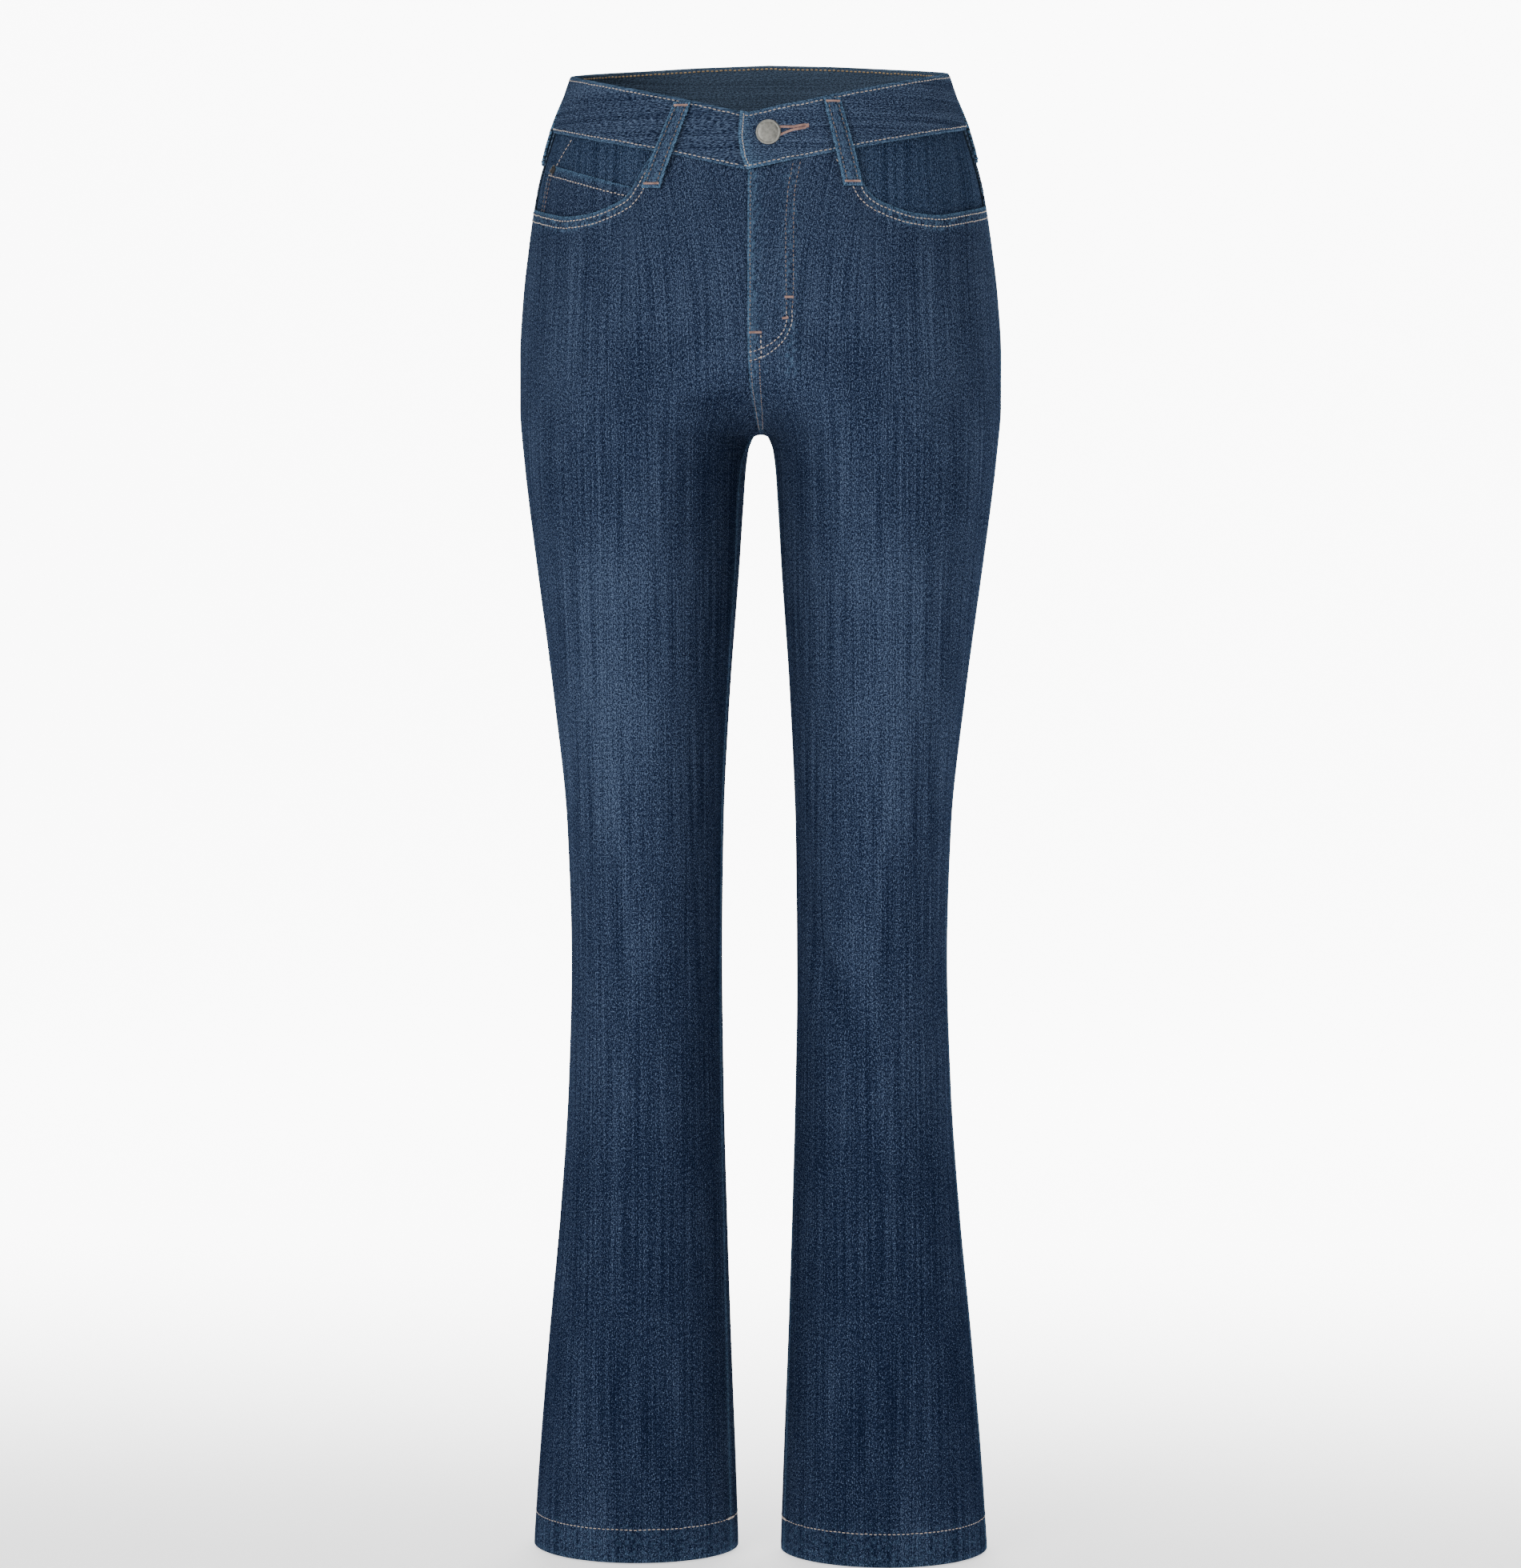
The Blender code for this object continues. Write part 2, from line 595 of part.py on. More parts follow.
def belt_loop(name, color, top, bottom, mirror=False, back=False):
    """A strip from the top of the waistband down over its lower edge, bowed outward."""
    steps = np.linspace(0.0, 1.0, 9)
    across = np.array([-0.5, 0.0, 0.5]) * LOOP_WIDTH
    share_mid = top + (bottom - top) * steps
    z_mid = RIM_Z(share_mid) - 2.5 - LOOP_LENGTH * steps
    length = half_length(np.full(1, -40.0), back)[0]
    share = share_mid[:, None] + across[None, :] / length
    z = np.tile(z_mid[:, None], (1, 3))
    clear = np.where(steps < 0.64, 1.1, 0.9)
    out = clear + LOOP_BOW * np.sin(math.pi * steps ** 1.4) ** 0.8
    out = np.tile(out[:, None], (1, 3))
    if back:
        signed = np.tile((across / length)[None, :], (9, 1))
        share = 2.0 - np.abs(signed)
        inner = surface(share, z) + normals(share, z) * out[..., None]
        outer = surface(share, z) + normals(share, z) * (out + LOOP_WALL)[..., None]
        for layer in (inner, outer):
            layer[..., 0] *= np.where(signed < 0, 1.0, -1.0)
        return wall(name, outer, inner, color)
    return wall(name, lifted(share, z, out + LOOP_WALL), lifted(share, z, out), color, mirror)


def button_place():
    length = float(half_length(-50.0)[0])
    share = np.array([BUTTON_ROUND / length])
    z = RIM_Z(share) - BUTTON_DROP
    return surface(share, z)[0], normals(share, z)[0]


def button(name, color):
    centre, axis = button_place()
    base = 0.6 + BAND_WALL + LAY_GAP + 0.3 + LAY_GAP
    radius = BUTTON_DIAMETER / 2
    profile = ((0.0, base), (radius * 0.82, base), (radius * 0.97, base + 0.5),
               (radius, base + 1.2), (radius * 0.96, base + 2.0),
               (radius * 0.86, base + 2.4), (radius * 0.78, base + 2.1),
               (radius * 0.4, base + 2.0), (0.0, base + 2.0))
    return lathe(name, profile, centre, axis, color, 0.35, 0.9)


def rivet(name, color):
    share, z = facing_grid()
    first, last = COIN_COLUMNS_USED
    share = share[1, last:last + 1] - share_of(9.0, z[1, last:last + 1])
    z = z[1, last:last + 1] - 4.0
    centre, axis = surface(share, z)[0] * [-1, 1, 1], normals(share, z)[0] * [-1, 1, 1]
    base = -WALL - FACING_GAP + LAY_GAP
    profile = ((0.0, base), (3.4, base), (3.4, base + 0.5), (2.4, base + 0.9),
               (0.0, base + 0.9))
    return lathe(name, profile, centre, axis, color, 0.4, 0.9, segments=14)


# --------------------------------------------------------------------- the build
DENIM = (0.032, 0.052, 0.098)
DARK_DENIM = (0.022, 0.036, 0.07)
METAL = (0.45, 0.43, 0.42)
DARK_METAL = (0.08, 0.07, 0.07)


def main():
    for old in list(bpy.data.objects):
        bpy.data.objects.remove(old, do_unlink=True)
    root = bpy.data.objects.new("jeans", None)
    bpy.context.scene.collection.objects.link(root)

    for side, mirror in (("left", False), ("right", True)):
        front_panel("front_" + side, DENIM, mirror)
        back_panel("back_" + side, DENIM, mirror)
        yoke("yoke_" + side, DENIM, mirror)
        facing("pocket_facing_" + side, DARK_DENIM, mirror)
        back_pocket("back_pocket_" + side, DENIM, mirror)
        hem("hem_" + side, DARK_DENIM, mirror)
        top, bottom = share_of(np.array(FRONT_LOOPS[side]), np.array([-28.0, -85.0]))
        belt_loop("belt_loop_front_" + side, DENIM, top, bottom, mirror)
        belt_loop("belt_loop_side_" + side, DENIM, *SIDE_LOOPS[side], mirror)
    belt_loop("belt_loop_back", DENIM, 2.0, 2.0, back=True)
    coin_pocket("coin_pocket", DENIM)
    waistband("waistband", DENIM)
    button("button", METAL)
    rivet("coin_pocket_rivet", DARK_METAL)


main()
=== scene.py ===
"""Dress the bootcut jeans: denim shells, topstitching, metal trims, floor, light and camera.

The garment is one smooth surface, worked out from named sizes. Each cut piece is a closed
shell on that surface, and each row of stitches runs along it. Sizes are in millimetres and
are turned into metres when a mesh is made. X runs to the wearer's left, Y to the back and
Z up; the origin is the centre of the waist.
"""

from __future__ import annotations

import logging
import math
from collections.abc import Callable, Iterator, Sequence
from contextlib import contextmanager
from dataclasses import dataclass, field
from enum import Enum

import bmesh
import bpy
import numpy as np
from mathutils import Matrix, Vector

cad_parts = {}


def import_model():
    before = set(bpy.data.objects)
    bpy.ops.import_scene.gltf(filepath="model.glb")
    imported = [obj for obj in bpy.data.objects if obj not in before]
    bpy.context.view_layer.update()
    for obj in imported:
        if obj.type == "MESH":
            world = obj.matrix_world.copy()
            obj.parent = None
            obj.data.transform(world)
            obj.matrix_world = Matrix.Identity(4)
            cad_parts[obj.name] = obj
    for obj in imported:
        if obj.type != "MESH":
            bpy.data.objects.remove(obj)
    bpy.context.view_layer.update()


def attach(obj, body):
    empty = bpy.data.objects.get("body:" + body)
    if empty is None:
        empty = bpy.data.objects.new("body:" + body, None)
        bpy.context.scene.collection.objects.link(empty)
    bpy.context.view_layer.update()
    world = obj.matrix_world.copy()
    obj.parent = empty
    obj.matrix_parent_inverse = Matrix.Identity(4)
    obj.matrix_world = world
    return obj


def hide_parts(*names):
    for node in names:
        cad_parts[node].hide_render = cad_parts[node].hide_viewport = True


log = logging.getLogger("jeans")
MM = 0.001
Array = np.ndarray
Colour = tuple[float, float, float]
Pair = tuple[Array, Array]                      # shares and heights, or points and normals
Layer = Callable[[Array, Array, float], Array]  # (u, v, depth below the outer face) -> points
Looks = tuple[Array | float, Array | float, Array | float]  # how faded with painted shade and highlight, worn and puckered


class Side(Enum):
    """Which half of the garment, seen by the wearer."""

    LEFT = 1
    RIGHT = -1

    @property
    def word(self) -> str:
        """Lower-case name, as the nodes are named."""
        return self.name.lower()

    @property
    def mirror(self) -> Array:
        """Factors that carry a point of the left half over to this half."""
        return np.array([self.value, 1.0, 1.0])


class Face(Enum):
    """Front or back path of a half."""

    FRONT = 0
    BACK = 1


def smoothstep(t: Array | float) -> Array:
    """Ease from 0 to 1."""
    t = np.clip(t, 0.0, 1.0)
    return t * t * (3 - 2 * t)


def near(distance: Array | float, width: float) -> Array:
    """1 at an edge, falling to 0 over a width."""
    return np.exp(-np.clip(np.asarray(distance, float), 0.0, None) / width)


def lines(count: int, size: float, edge: float = 1.2) -> Array:
    """Grid lines from 0 to 1 with a close line inside each end.

    Args:
        count: Number of spans between the close lines.
        size: The piece's size along them, in millimetres.
        edge: Distance of the close lines from the ends.

    Returns:
        The lines.
    """
    e = edge / size
    return np.concatenate(([0.0], np.linspace(e, 1 - e, count + 1), [1.0]))


def between(levels: Sequence[Array], run: Array) -> Array:
    """Value part of the way through a list of levels, each of which has the shape of run.

    Args:
        levels: The levels, in order.
        run: 0 at the first level, 1 more at each next one.

    Returns:
        The values.
    """
    stack = np.array(levels)
    k = np.clip(run.astype(int), 0, len(stack) - 2)
    low, high = (np.take_along_axis(stack, k[None] + step, axis=0)[0] for step in (0, 1))
    return low + (high - low) * (run - k)


class Smooth:
    """A monotone cubic through the rows of a short table."""

    def __init__(self, xs: Sequence[float], ys: Sequence[float]) -> None:
        """Work out the slopes.

        Args:
            xs: Where the rows are.
            ys: Their values.
        """
        order = np.argsort(xs)
        self.x = np.asarray(xs, float)[order]
        self.y = np.asarray(ys, float)[order]
        h = np.diff(self.x)
        d = np.diff(self.y) / h
        m = np.zeros(len(self.x))
        m[0], m[-1] = d[0], d[-1]
        for i in range(1, len(m) - 1):
            if d[i - 1] * d[i] > 0:
                w1, w2 = 2 * h[i] + h[i - 1], h[i] + 2 * h[i - 1]
                m[i] = (w1 + w2) / (w1 / d[i - 1] + w2 / d[i])
        self.m = m

    def __call__(self, x: Array | float) -> Array:
        """Value of the curve at x.

        Args:
            x: Where to read it; past an end it keeps that end's value.

        Returns:
            Its values.
        """
        x = np.clip(np.asarray(x, float), self.x[0], self.x[-1])
        i = np.clip(np.searchsorted(self.x, x) - 1, 0, len(self.x) - 2)
        h = self.x[i + 1] - self.x[i]
        t = (x - self.x[i]) / h
        return ((1 + 2 * t) * (1 - t) ** 2 * self.y[i] + t * (1 - t) ** 2 * h * self.m[i]
                + t * t * (3 - 2 * t) * self.y[i + 1] + t * t * (t - 1) * h * self.m[i + 1])


@dataclass(frozen=True)
class Fold:
    """A soft trough (negative depth) or ridge in the cloth."""

    across: float      # distance round from the inner edge of the path
    z: float
    length: float
    width: float
    depth: float
    lean: float        # degrees from upright, towards the outside at its top


FOLDS: dict[tuple[Side, Face], tuple[Fold, ...]] = {
    (Side.LEFT, Face.FRONT): (
        Fold(66, -636, 90, 8, -2.6, -24), Fold(84, -628, 84, 11, 1.5, -24),
        Fold(44, -566, 70, 12, -1.0, -35), Fold(30, -700, 90, 12, -0.9, -18),
        Fold(70, -205, 60, 9, -1.1, -52), Fold(96, -236, 74, 11, -1.0, -62),
        Fold(132, -300, 120, 20, 1.1, -18), Fold(120, -430, 170, 24, 0.9, 4),
        Fold(110, -880, 190, 20, -0.9, 5), Fold(60, -960, 130, 15, 0.9, 3),
    ),
    (Side.RIGHT, Face.FRONT): (
        Fold(62, -620, 110, 12, -1.3, -14), Fold(96, -560, 100, 14, -1.0, 12),
        Fold(34, -690, 90, 12, -0.8, -22), Fold(66, -210, 60, 9, -1.1, -50),
        Fold(98, -244, 76, 12, -1.0, -60), Fold(30, -233, 38, 3.8, -2.8, -84),
        Fold(130, -310, 120, 20, 1.1, -16), Fold(116, -440, 160, 24, 0.9, -4),
        Fold(96, -900, 170, 20, -0.9, -4), Fold(150, -950, 130, 16, 0.8, 4),
    ),
    (Side.LEFT, Face.BACK): (
        Fold(90, -262, 95, 9, -1.8, -64), Fold(104, -300, 100, 12, -1.3, -56),
        Fold(80, -600, 90, 9, -2.0, 62), Fold(96, -640, 80, 9, -1.5, 70),
        Fold(110, -850, 180, 20, -1.0, 4),
    ),
    (Side.RIGHT, Face.BACK): (
        Fold(92, -266, 95, 9, -1.7, -62), Fold(100, -304, 95, 12, -1.4, -58),
        Fold(84, -606, 90, 9, -1.9, 58), Fold(92, -648, 84, 9, -1.6, 66),
        Fold(100, -860, 190, 20, -1.0, -3),
    ),
}

# distance from centre front of the top and the foot of each front belt loop
FRONT_LOOPS = {Side.LEFT: (57.0, 72.0), Side.RIGHT: (45.5, 67.0)}
# share round the half of the top and the foot of each side belt loop
SIDE_LOOPS = {Side.LEFT: (1.17, 1.115), Side.RIGHT: (1.10, 1.045)}


@dataclass(frozen=True)
class Loop:
    """A belt loop: its node and the shares round the half of its top and foot."""

    node: str
    side: Side
    top: float
    foot: float


@dataclass(frozen=True)
class Garment:
    """The smooth surface that every piece lies on.

    A share is a place round one half: 0 inner front, 1 side, 2 inner back.
    """

    sections: tuple[tuple[float, ...], ...] = (  # z, side, inner, split, front, back, mid
        (20.0, 126.5, 0.0, 16.0, -89.0, 91.0, 2.0),
        (0.0, 133.3, 0.0, 20.0, -91.0, 93.0, 2.0),
        (-40.0, 146.4, 0.0, 30.0, -97.0, 102.0, 3.0),
        (-80.0, 158.1, 0.0, 42.0, -102.0, 113.0, 4.0),
        (-120.0, 164.5, 0.0, 54.0, -105.0, 124.0, 6.0),
        (-160.0, 169.2, 0.0, 64.0, -105.0, 131.0, 8.0),
        (-200.0, 171.5, 0.0, 73.0, -103.0, 131.0, 9.0),
        (-235.0, 171.5, 0.0, 80.0, -100.0, 122.0, 8.0),
        (-254.0, 170.2, 0.0, 84.5, -97.5, 113.0, 6.5),
        (-254.6, 170.1, 3.7, 84.6, -97.4, 112.7, 6.4),
        (-256.3, 170.0, 5.5, 84.8, -97.2, 112.0, 6.3),
        (-259.8, 169.7, 7.2, 85.2, -96.8, 110.5, 6.2),
        (-264.4, 169.2, 8.8, 86.0, -96.0, 108.5, 5.8),
        (-280.0, 167.6, 10.9, 87.3, -94.0, 103.0, 5.0),
        (-303.0, 164.9, 12.5, 88.0, -92.0, 97.5, 4.0),
        (-349.0, 158.9, 15.3, 87.5, -88.0, 88.0, 2.0),
        (-441.0, 146.8, 21.8, 84.5, -81.0, 75.0, -2.0),
        (-533.0, 137.3, 25.9, 81.5, -74.0, 66.0, -4.0),
        (-625.0, 134.7, 27.0, 81.0, -68.0, 62.0, -3.0),
        (-718.0, 137.4, 26.0, 81.7, -64.0, 66.0, 0.0),
        (-810.0, 143.8, 23.7, 83.5, -62.0, 70.0, 3.0),
        (-902.0, 152.6, 20.8, 86.5, -62.0, 73.0, 5.0),
        (-994.0, 160.3, 17.4, 88.7, -62.0, 75.0, 6.0),
        (-1055.0, 164.4, 15.4, 90.0, -62.0, 75.0, 6.0),
    )
    seams: tuple[tuple[float, ...], ...] = (     # z, then the seams' distance from the path's ends
        (20.0, 0.0, 8.0), (-80.0, 0.0, 9.0), (-254.0, 0.0, 8.0), (-264.0, 14.0, 8.0),
        (-280.0, 23.0, 8.0), (-300.0, 24.0, 7.0), (-330.0, 21.0, 7.0), (-370.0, 17.0, 7.0),
        (-513.0, 10.0, 6.0), (-582.0, 8.0, 6.0), (-825.0, 12.5, 6.0), (-1028.0, 18.4, 7.0),
        (-1055.0, 19.0, 7.0),
    )
    rim: tuple[tuple[float, float], ...] = (     # share and height of the waist's rim
        (0.0, -35.0), (0.25, -24.0), (0.5, -14.2), (0.75, -5.8), (1.0, 0.0), (1.25, 5.5),
        (1.5, 10.0), (1.75, 13.5), (2.0, 15.0),
    )
    mouth: tuple[tuple[float, float], ...] = (   # distance round, drop of the pocket mouth
        (66.0, 0.0), (71.0, 11.0), (76.0, 23.5), (80.0, 32.5), (91.5, 42.0), (109.0, 50.4),
        (132.0, 54.6), (163.0, 54.0), (210.0, 52.5),
    )
    coin: tuple[tuple[float, float], ...] = (    # distance round, drop of the coin pocket
        (60.0, 26.5), (78.0, 26.4), (114.0, 24.0), (150.0, 22.0), (210.0, 21.0),
    )
    yoke: tuple[tuple[float, float], ...] = (    # share and height of the yoke's foot
        (0.8, -84.0), (1.0, -84.0), (1.5, -90.0), (2.0, -108.0),
    )
    patch_columns: tuple[float, ...] = (0.26, 0.345, 0.43, 0.52, 0.61, 0.695, 0.78)
    patch_upper: tuple[float, ...] = (0.16, 0.32, 0.49, 0.66, 0.83)
    patch_lower: tuple[float, ...] = (-200.0, -210.0, -220.0, -230.0, -240.0, -247.0)
    patch_point: float = 17.0
    wall: float = 1.2
    band_wall: float = 2.4
    band_drop: float = 39.0
    band_out: float = 0.6
    seam_gap: float = 0.3
    seam_lap: float = 0.1
    tuck: float = 0.8
    lay_gap: float = 0.35
    facing_gap: float = 0.6
    mouth_start: float = 66.0
    band_z: float = -20.0                        # level at which the band's lengths are taken
    loop_drop: float = 2.5
    loop_length: float = 62.0
    loop_bow: float = 2.2
    loop_z: float = -40.0                        # level at which the belt loops' widths are taken
    loop_ends: tuple[float, float] = (-28.0, -85.0)
    hem_z: float = -1055.0
    hem_height: float = 25.0
    base_z: float = -55.0                        # level at which the front pockets are set out
    yoke_z: float = -90.0
    thigh_z: float = -370.0                      # below it the columns are spread evenly
    crotch_z: float = -254.0
    crotch_y: float = 12.0
    front_rise: float = 60.0
    back_rise: float = 100.0
    rise_power: float = 1.3
    web: float = 8.5
    web_blend: float = 3.5
    seat_sink: float = 6.0
    fade_z: float = -200.0
    fly_lift: float = 1.8
    fly_width: float = 34.0
    samples: int = 16
    curves: dict[str, Smooth] = field(default_factory=dict)

    def __post_init__(self) -> None:
        """Make a smooth curve of each column of the tables."""
        for names, rows in ((("side", "inner", "split", "front", "back", "mid"), self.sections),
                            (("inseam", "outseam"), self.seams), (("rim",), self.rim),
                            (("mouth",), self.mouth), (("coin",), self.coin),
                            (("yoke",), self.yoke)):
            data = np.array(rows)
            for k, name in enumerate(names):
                self.curves[name] = Smooth(data[:, 0], data[:, k + 1])

    def at(self, name: str, x: Array | float) -> Array:
        """Value of a named curve."""
        return self.curves[name](x)

    def section(self, z: Array, back: bool) -> list[Array]:
        """Sizes of one path of the wearer's left half.

        Args:
            z: Heights.
            back: Whether it is the back path.

        Returns:
            split, side, mid, far, turn, edge_y, inner, start and sink.
        """
        above = z >= self.crotch_z
        depth = np.clip(self.crotch_z - z, 0.0, None)
        rise = self.back_rise if back else self.front_rise
        turn = 1.0 - np.clip((z - self.crotch_z) / rise, 0.0, 1.0) ** self.rise_power
        edge_y = self.crotch_y * (1 - smoothstep(depth / 300.0))
        sink = self.seat_sink * smoothstep((-60.0 - z) / 90.0) * above * back
        inner = np.where(above, 0.0, self.at("inner", z))
        smooth_inner = np.maximum(inner, self.web + 0.11 * np.minimum(depth, 24.0))
        start = np.where(above, self.web, smooth_inner)
        return [self.at("split", z), self.at("side", z), self.at("mid", z),
                self.at("back" if back else "front", z), turn, edge_y, inner, start, sink]

    def path_point(self, sizes: Sequence[Array], t: Array) -> Pair:
        """X and y on a path: t 0 at its inner end, 1 at its deepest point, 2 at the side.

        Args:
            sizes: What section gives for the path.
            t: Place on the path.

        Returns:
            X and y in millimetres.
        """
        split, side, mid, far, turn, edge_y, inner, start, sink = sizes
        a = np.clip(t, 0.0, 1.0) * (math.pi / 2)
        b = np.clip(t - 1.0, 0.0, 1.0) * (math.pi / 2)
        run = (split - start) * (1 - np.cos(a))
        x_in = start + run - (start - inner) * np.exp(-run / self.web_blend)
        reach = np.sqrt(np.clip(1 - (turn * np.cos(a)) ** 2, 0.0, 1.0))
        y_in = edge_y + (far - edge_y) * reach - sink * np.cos(a) ** 2 * (1 - turn) ** 0.5
        return (np.where(t <= 1.0, x_in, split + (side - split) * np.sin(b)),
                np.where(t <= 1.0, y_in, mid + (far - mid) * np.cos(b)))

    def sampled(self, z: Array, back: bool) -> tuple[list[Array], Array]:
        """Sizes of each path with the running length at its samples.

        Args:
            z: Heights, in one row.
            back: Whether the paths run round the back.

        Returns:
            The sizes, and the length from a path's inner end to each sample.
        """
        sizes = [np.broadcast_to(np.asarray(v, float), z.shape) for v in self.section(z, back)]
        t = np.linspace(0.0, 2.0, 2 * self.samples + 1)
        x, y = self.path_point([v[:, None] for v in sizes], t[None, :])
        step = np.hypot(np.diff(x, axis=1), np.diff(y, axis=1))
        return sizes, np.hstack((np.zeros((len(z), 1)), np.cumsum(step, axis=1)))

    def length(self, z: Array | float, back: bool = False) -> Array:
        """Distance round one front or back path at each height, in the shape of z."""
        z = np.asarray(z, float)
        return self.sampled(z.reshape(-1), back)[1][:, -1].reshape(z.shape)

    def smooth_point(self, share: Array, z: Array) -> Array:
        """Points of the left half before any fold; below the crotch a share runs on round.

        Args:
            share: Place round the half.
            z: Heights.

        Returns:
            Points in millimetres.
        """
        share, z = np.broadcast_arrays(np.asarray(share, float), np.asarray(z, float))
        s, zf = share.ravel().copy(), z.ravel().astype(float)
        below = zf < self.crotch_z
        s = np.where(below & (s > 2.0), s - 2.0, s)
        s = np.where(below & (s < 0.0), s + 2.0, s)
        out = np.empty((len(s), 3))
        out[:, 2] = zf
        for back in (False, True):
            pick = (s > 1.0) if back else (s <= 1.0)
            if not pick.any():
                continue
            sizes, run = self.sampled(zf[pick], back)
            want = np.clip((2.0 - s[pick]) if back else s[pick], 0.0, 1.0) * run[:, -1]
            i = np.clip((run < want[:, None]).sum(axis=1) - 1, 0, 2 * self.samples - 1)
            row = np.arange(len(i))
            r0, r1 = run[row, i], run[row, i + 1]
            t = (i + (want - r0) / np.maximum(r1 - r0, 1e-9)) / self.samples
            out[pick, 0], out[pick, 1] = self.path_point(sizes, t)
        return out.reshape(share.shape + (3,))

    def normal(self, share: Array, z: Array, step: float = 0.6) -> Array:
        """Outward unit normals of the left half.

        Args:
            share: Place round the half.
            z: Heights.
            step: Distance to the neighbours that a normal is worked out from.

        Returns:
            The normals.
        """
        share, z = np.broadcast_arrays(np.asarray(share, float), np.asarray(z, float))
        ds = step / self.length(z)
        above = z >= self.crotch_z
        s0 = np.where(above, np.clip(share - ds, 0.0, 2.0), share - ds)
        s1 = np.where(above, np.clip(share + ds, 0.0, 2.0), share + ds)
        z0 = np.where(above, np.maximum(z - step, self.crotch_z), z - step)
        z1 = np.where(above, z + step, np.minimum(z + step, self.crotch_z - 0.01))
        along = self.smooth_point(s1, z) - self.smooth_point(s0, z)
        n = np.cross(along, self.smooth_point(share, z1) - self.smooth_point(share, z0))
        n = n / np.maximum(np.linalg.norm(n, axis=-1, keepdims=True), 1e-9)
        flat = (above & ((share < 1e-6) | (share > 2 - 1e-6)))[..., None]
        m = n * np.array([0.0, 1.0, 1.0])
        m = m / np.maximum(np.linalg.norm(m, axis=-1, keepdims=True), 1e-9)
        return np.where(flat & (np.abs(n[..., :1]) < 0.8), m, n)

    def fold_offset(self, side: Side, share: Array, z: Array) -> Array:
        """How far the folds move the cloth out at each point.

        Args:
            side: The half.
            share: Place round the half.
            z: Heights.

        Returns:
            Distances outward in millimetres.
        """
        front, back = self.length(z), self.length(z, True)
        ahead = np.where(share <= 1.0, share * front, front + (share - 1.0) * back)
        ahead = np.where(share > 2.0, (share - 2.0) * front, ahead)
        behind = np.where(share >= 1.0, (2.0 - share) * back, back + (1.0 - share) * front)
        total = np.zeros(np.shape(z))
        for face, across in ((Face.FRONT, ahead), (Face.BACK, behind)):
            for fold in FOLDS[side, face]:
                lean = math.radians(fold.lean)
                dx, dz = across - fold.across, z - fold.z
                along = dz * math.cos(lean) + dx * math.sin(lean)
                wide = dx * math.cos(lean) - dz * math.sin(lean)
                taper = np.clip(1 - (along / fold.length) ** 2, 0.0, 1.0) ** 2
                total = total + fold.depth * taper * np.exp(-0.5 * (wide / fold.width) ** 2)
        return total * smoothstep((-120.0 - z) / 60.0) * smoothstep((z + 1040.0) / 50.0)

    def fly_relief(self, side: Side, share: Array, z: Array) -> Array:
        """How far the lapping front rises over the other one.

        Args:
            side: The half.
            share: Place round the half.
            z: Heights.

        Returns:
            Distances outward in millimetres.
        """
        if side is Side.RIGHT:
            return np.zeros(np.shape(z))
        across = share * self.length(z)
        rise = smoothstep((self.fly_width + 6.0 - across) / 9.0) * (across < 60) * (share <= 1)
        return self.fly_lift * rise * smoothstep((z + 240.0) / 26.0)

    def cloth(self, side: Side, share: Array, z: Array, out: Array | float) -> Array:
        """Points on the folded cloth, moved out.

        Args:
            side: The half.
            share: Place round the half.
            z: Heights.
            out: Distance outward from the cloth's outer face.

        Returns:
            Points in millimetres, which end in the seam at the centre.
        """
        share, z = np.broadcast_arrays(np.asarray(share, float), np.asarray(z, float))
        lift = self.fold_offset(side, share, z) + out
        p = self.smooth_point(share, z) + self.normal(share, z) * np.asarray(lift)[..., None]
        p[..., 0] = np.maximum(p[..., 0], -self.seam_lap)
        return p * side.mirror

    def share_of(self, around: Array | float, z: Array | float) -> Array:
        """Share of the front path at a distance round from centre front."""
        return np.asarray(around, float) / self.length(z)

    def band_foot(self, share: Array) -> Array:
        """Height of the waistband's lower edge."""
        return self.at("rim", share) - self.band_drop

    def tab_end(self, v: Array) -> Array:
        """How far the band's lapping end reaches past centre front, from its rim to its foot."""
        return np.interp(v, (0.0, 0.45, 0.8, 1.0), (5.5, 6.5, 4.2, 0.5))

    def band_lift(self, signed: Array) -> Array:
        """How far the lapping end of the band rises over the other."""
        return (self.band_wall + self.lay_gap + 0.3) * smoothstep((0.20 - signed) / 0.08)

    def above(self, share: Array, z: Array, flip: Array, out: Array | float) -> Pair:
        """Points and normals off the smooth surface.

        Args:
            share: Place round the half.
            z: Heights.
            flip: 1 on the wearer's left, -1 on the right.
            out: Distance outward.

        Returns:
            The points and the outward normals.
        """
        turn = np.stack((flip, np.ones(flip.shape), np.ones(flip.shape)), axis=-1)
        n = self.normal(share, z) * turn
        return self.smooth_point(share, z) * turn + n * np.asarray(out)[..., None], n

    def band(self, signed: Array, drop: Array | float, out: Array | float) -> Pair:
        """Points and normals round the whole waist.

        Args:
            signed: Share, which is negative on the wearer's right.
            drop: Distance below the rim.
            out: Distance outward.

        Returns:
            The points and the outward normals.
        """
        share = np.abs(signed)
        z = self.at("rim", share) - drop
        return self.above(share, z, np.where(signed < 0, -1.0, 1.0), out)

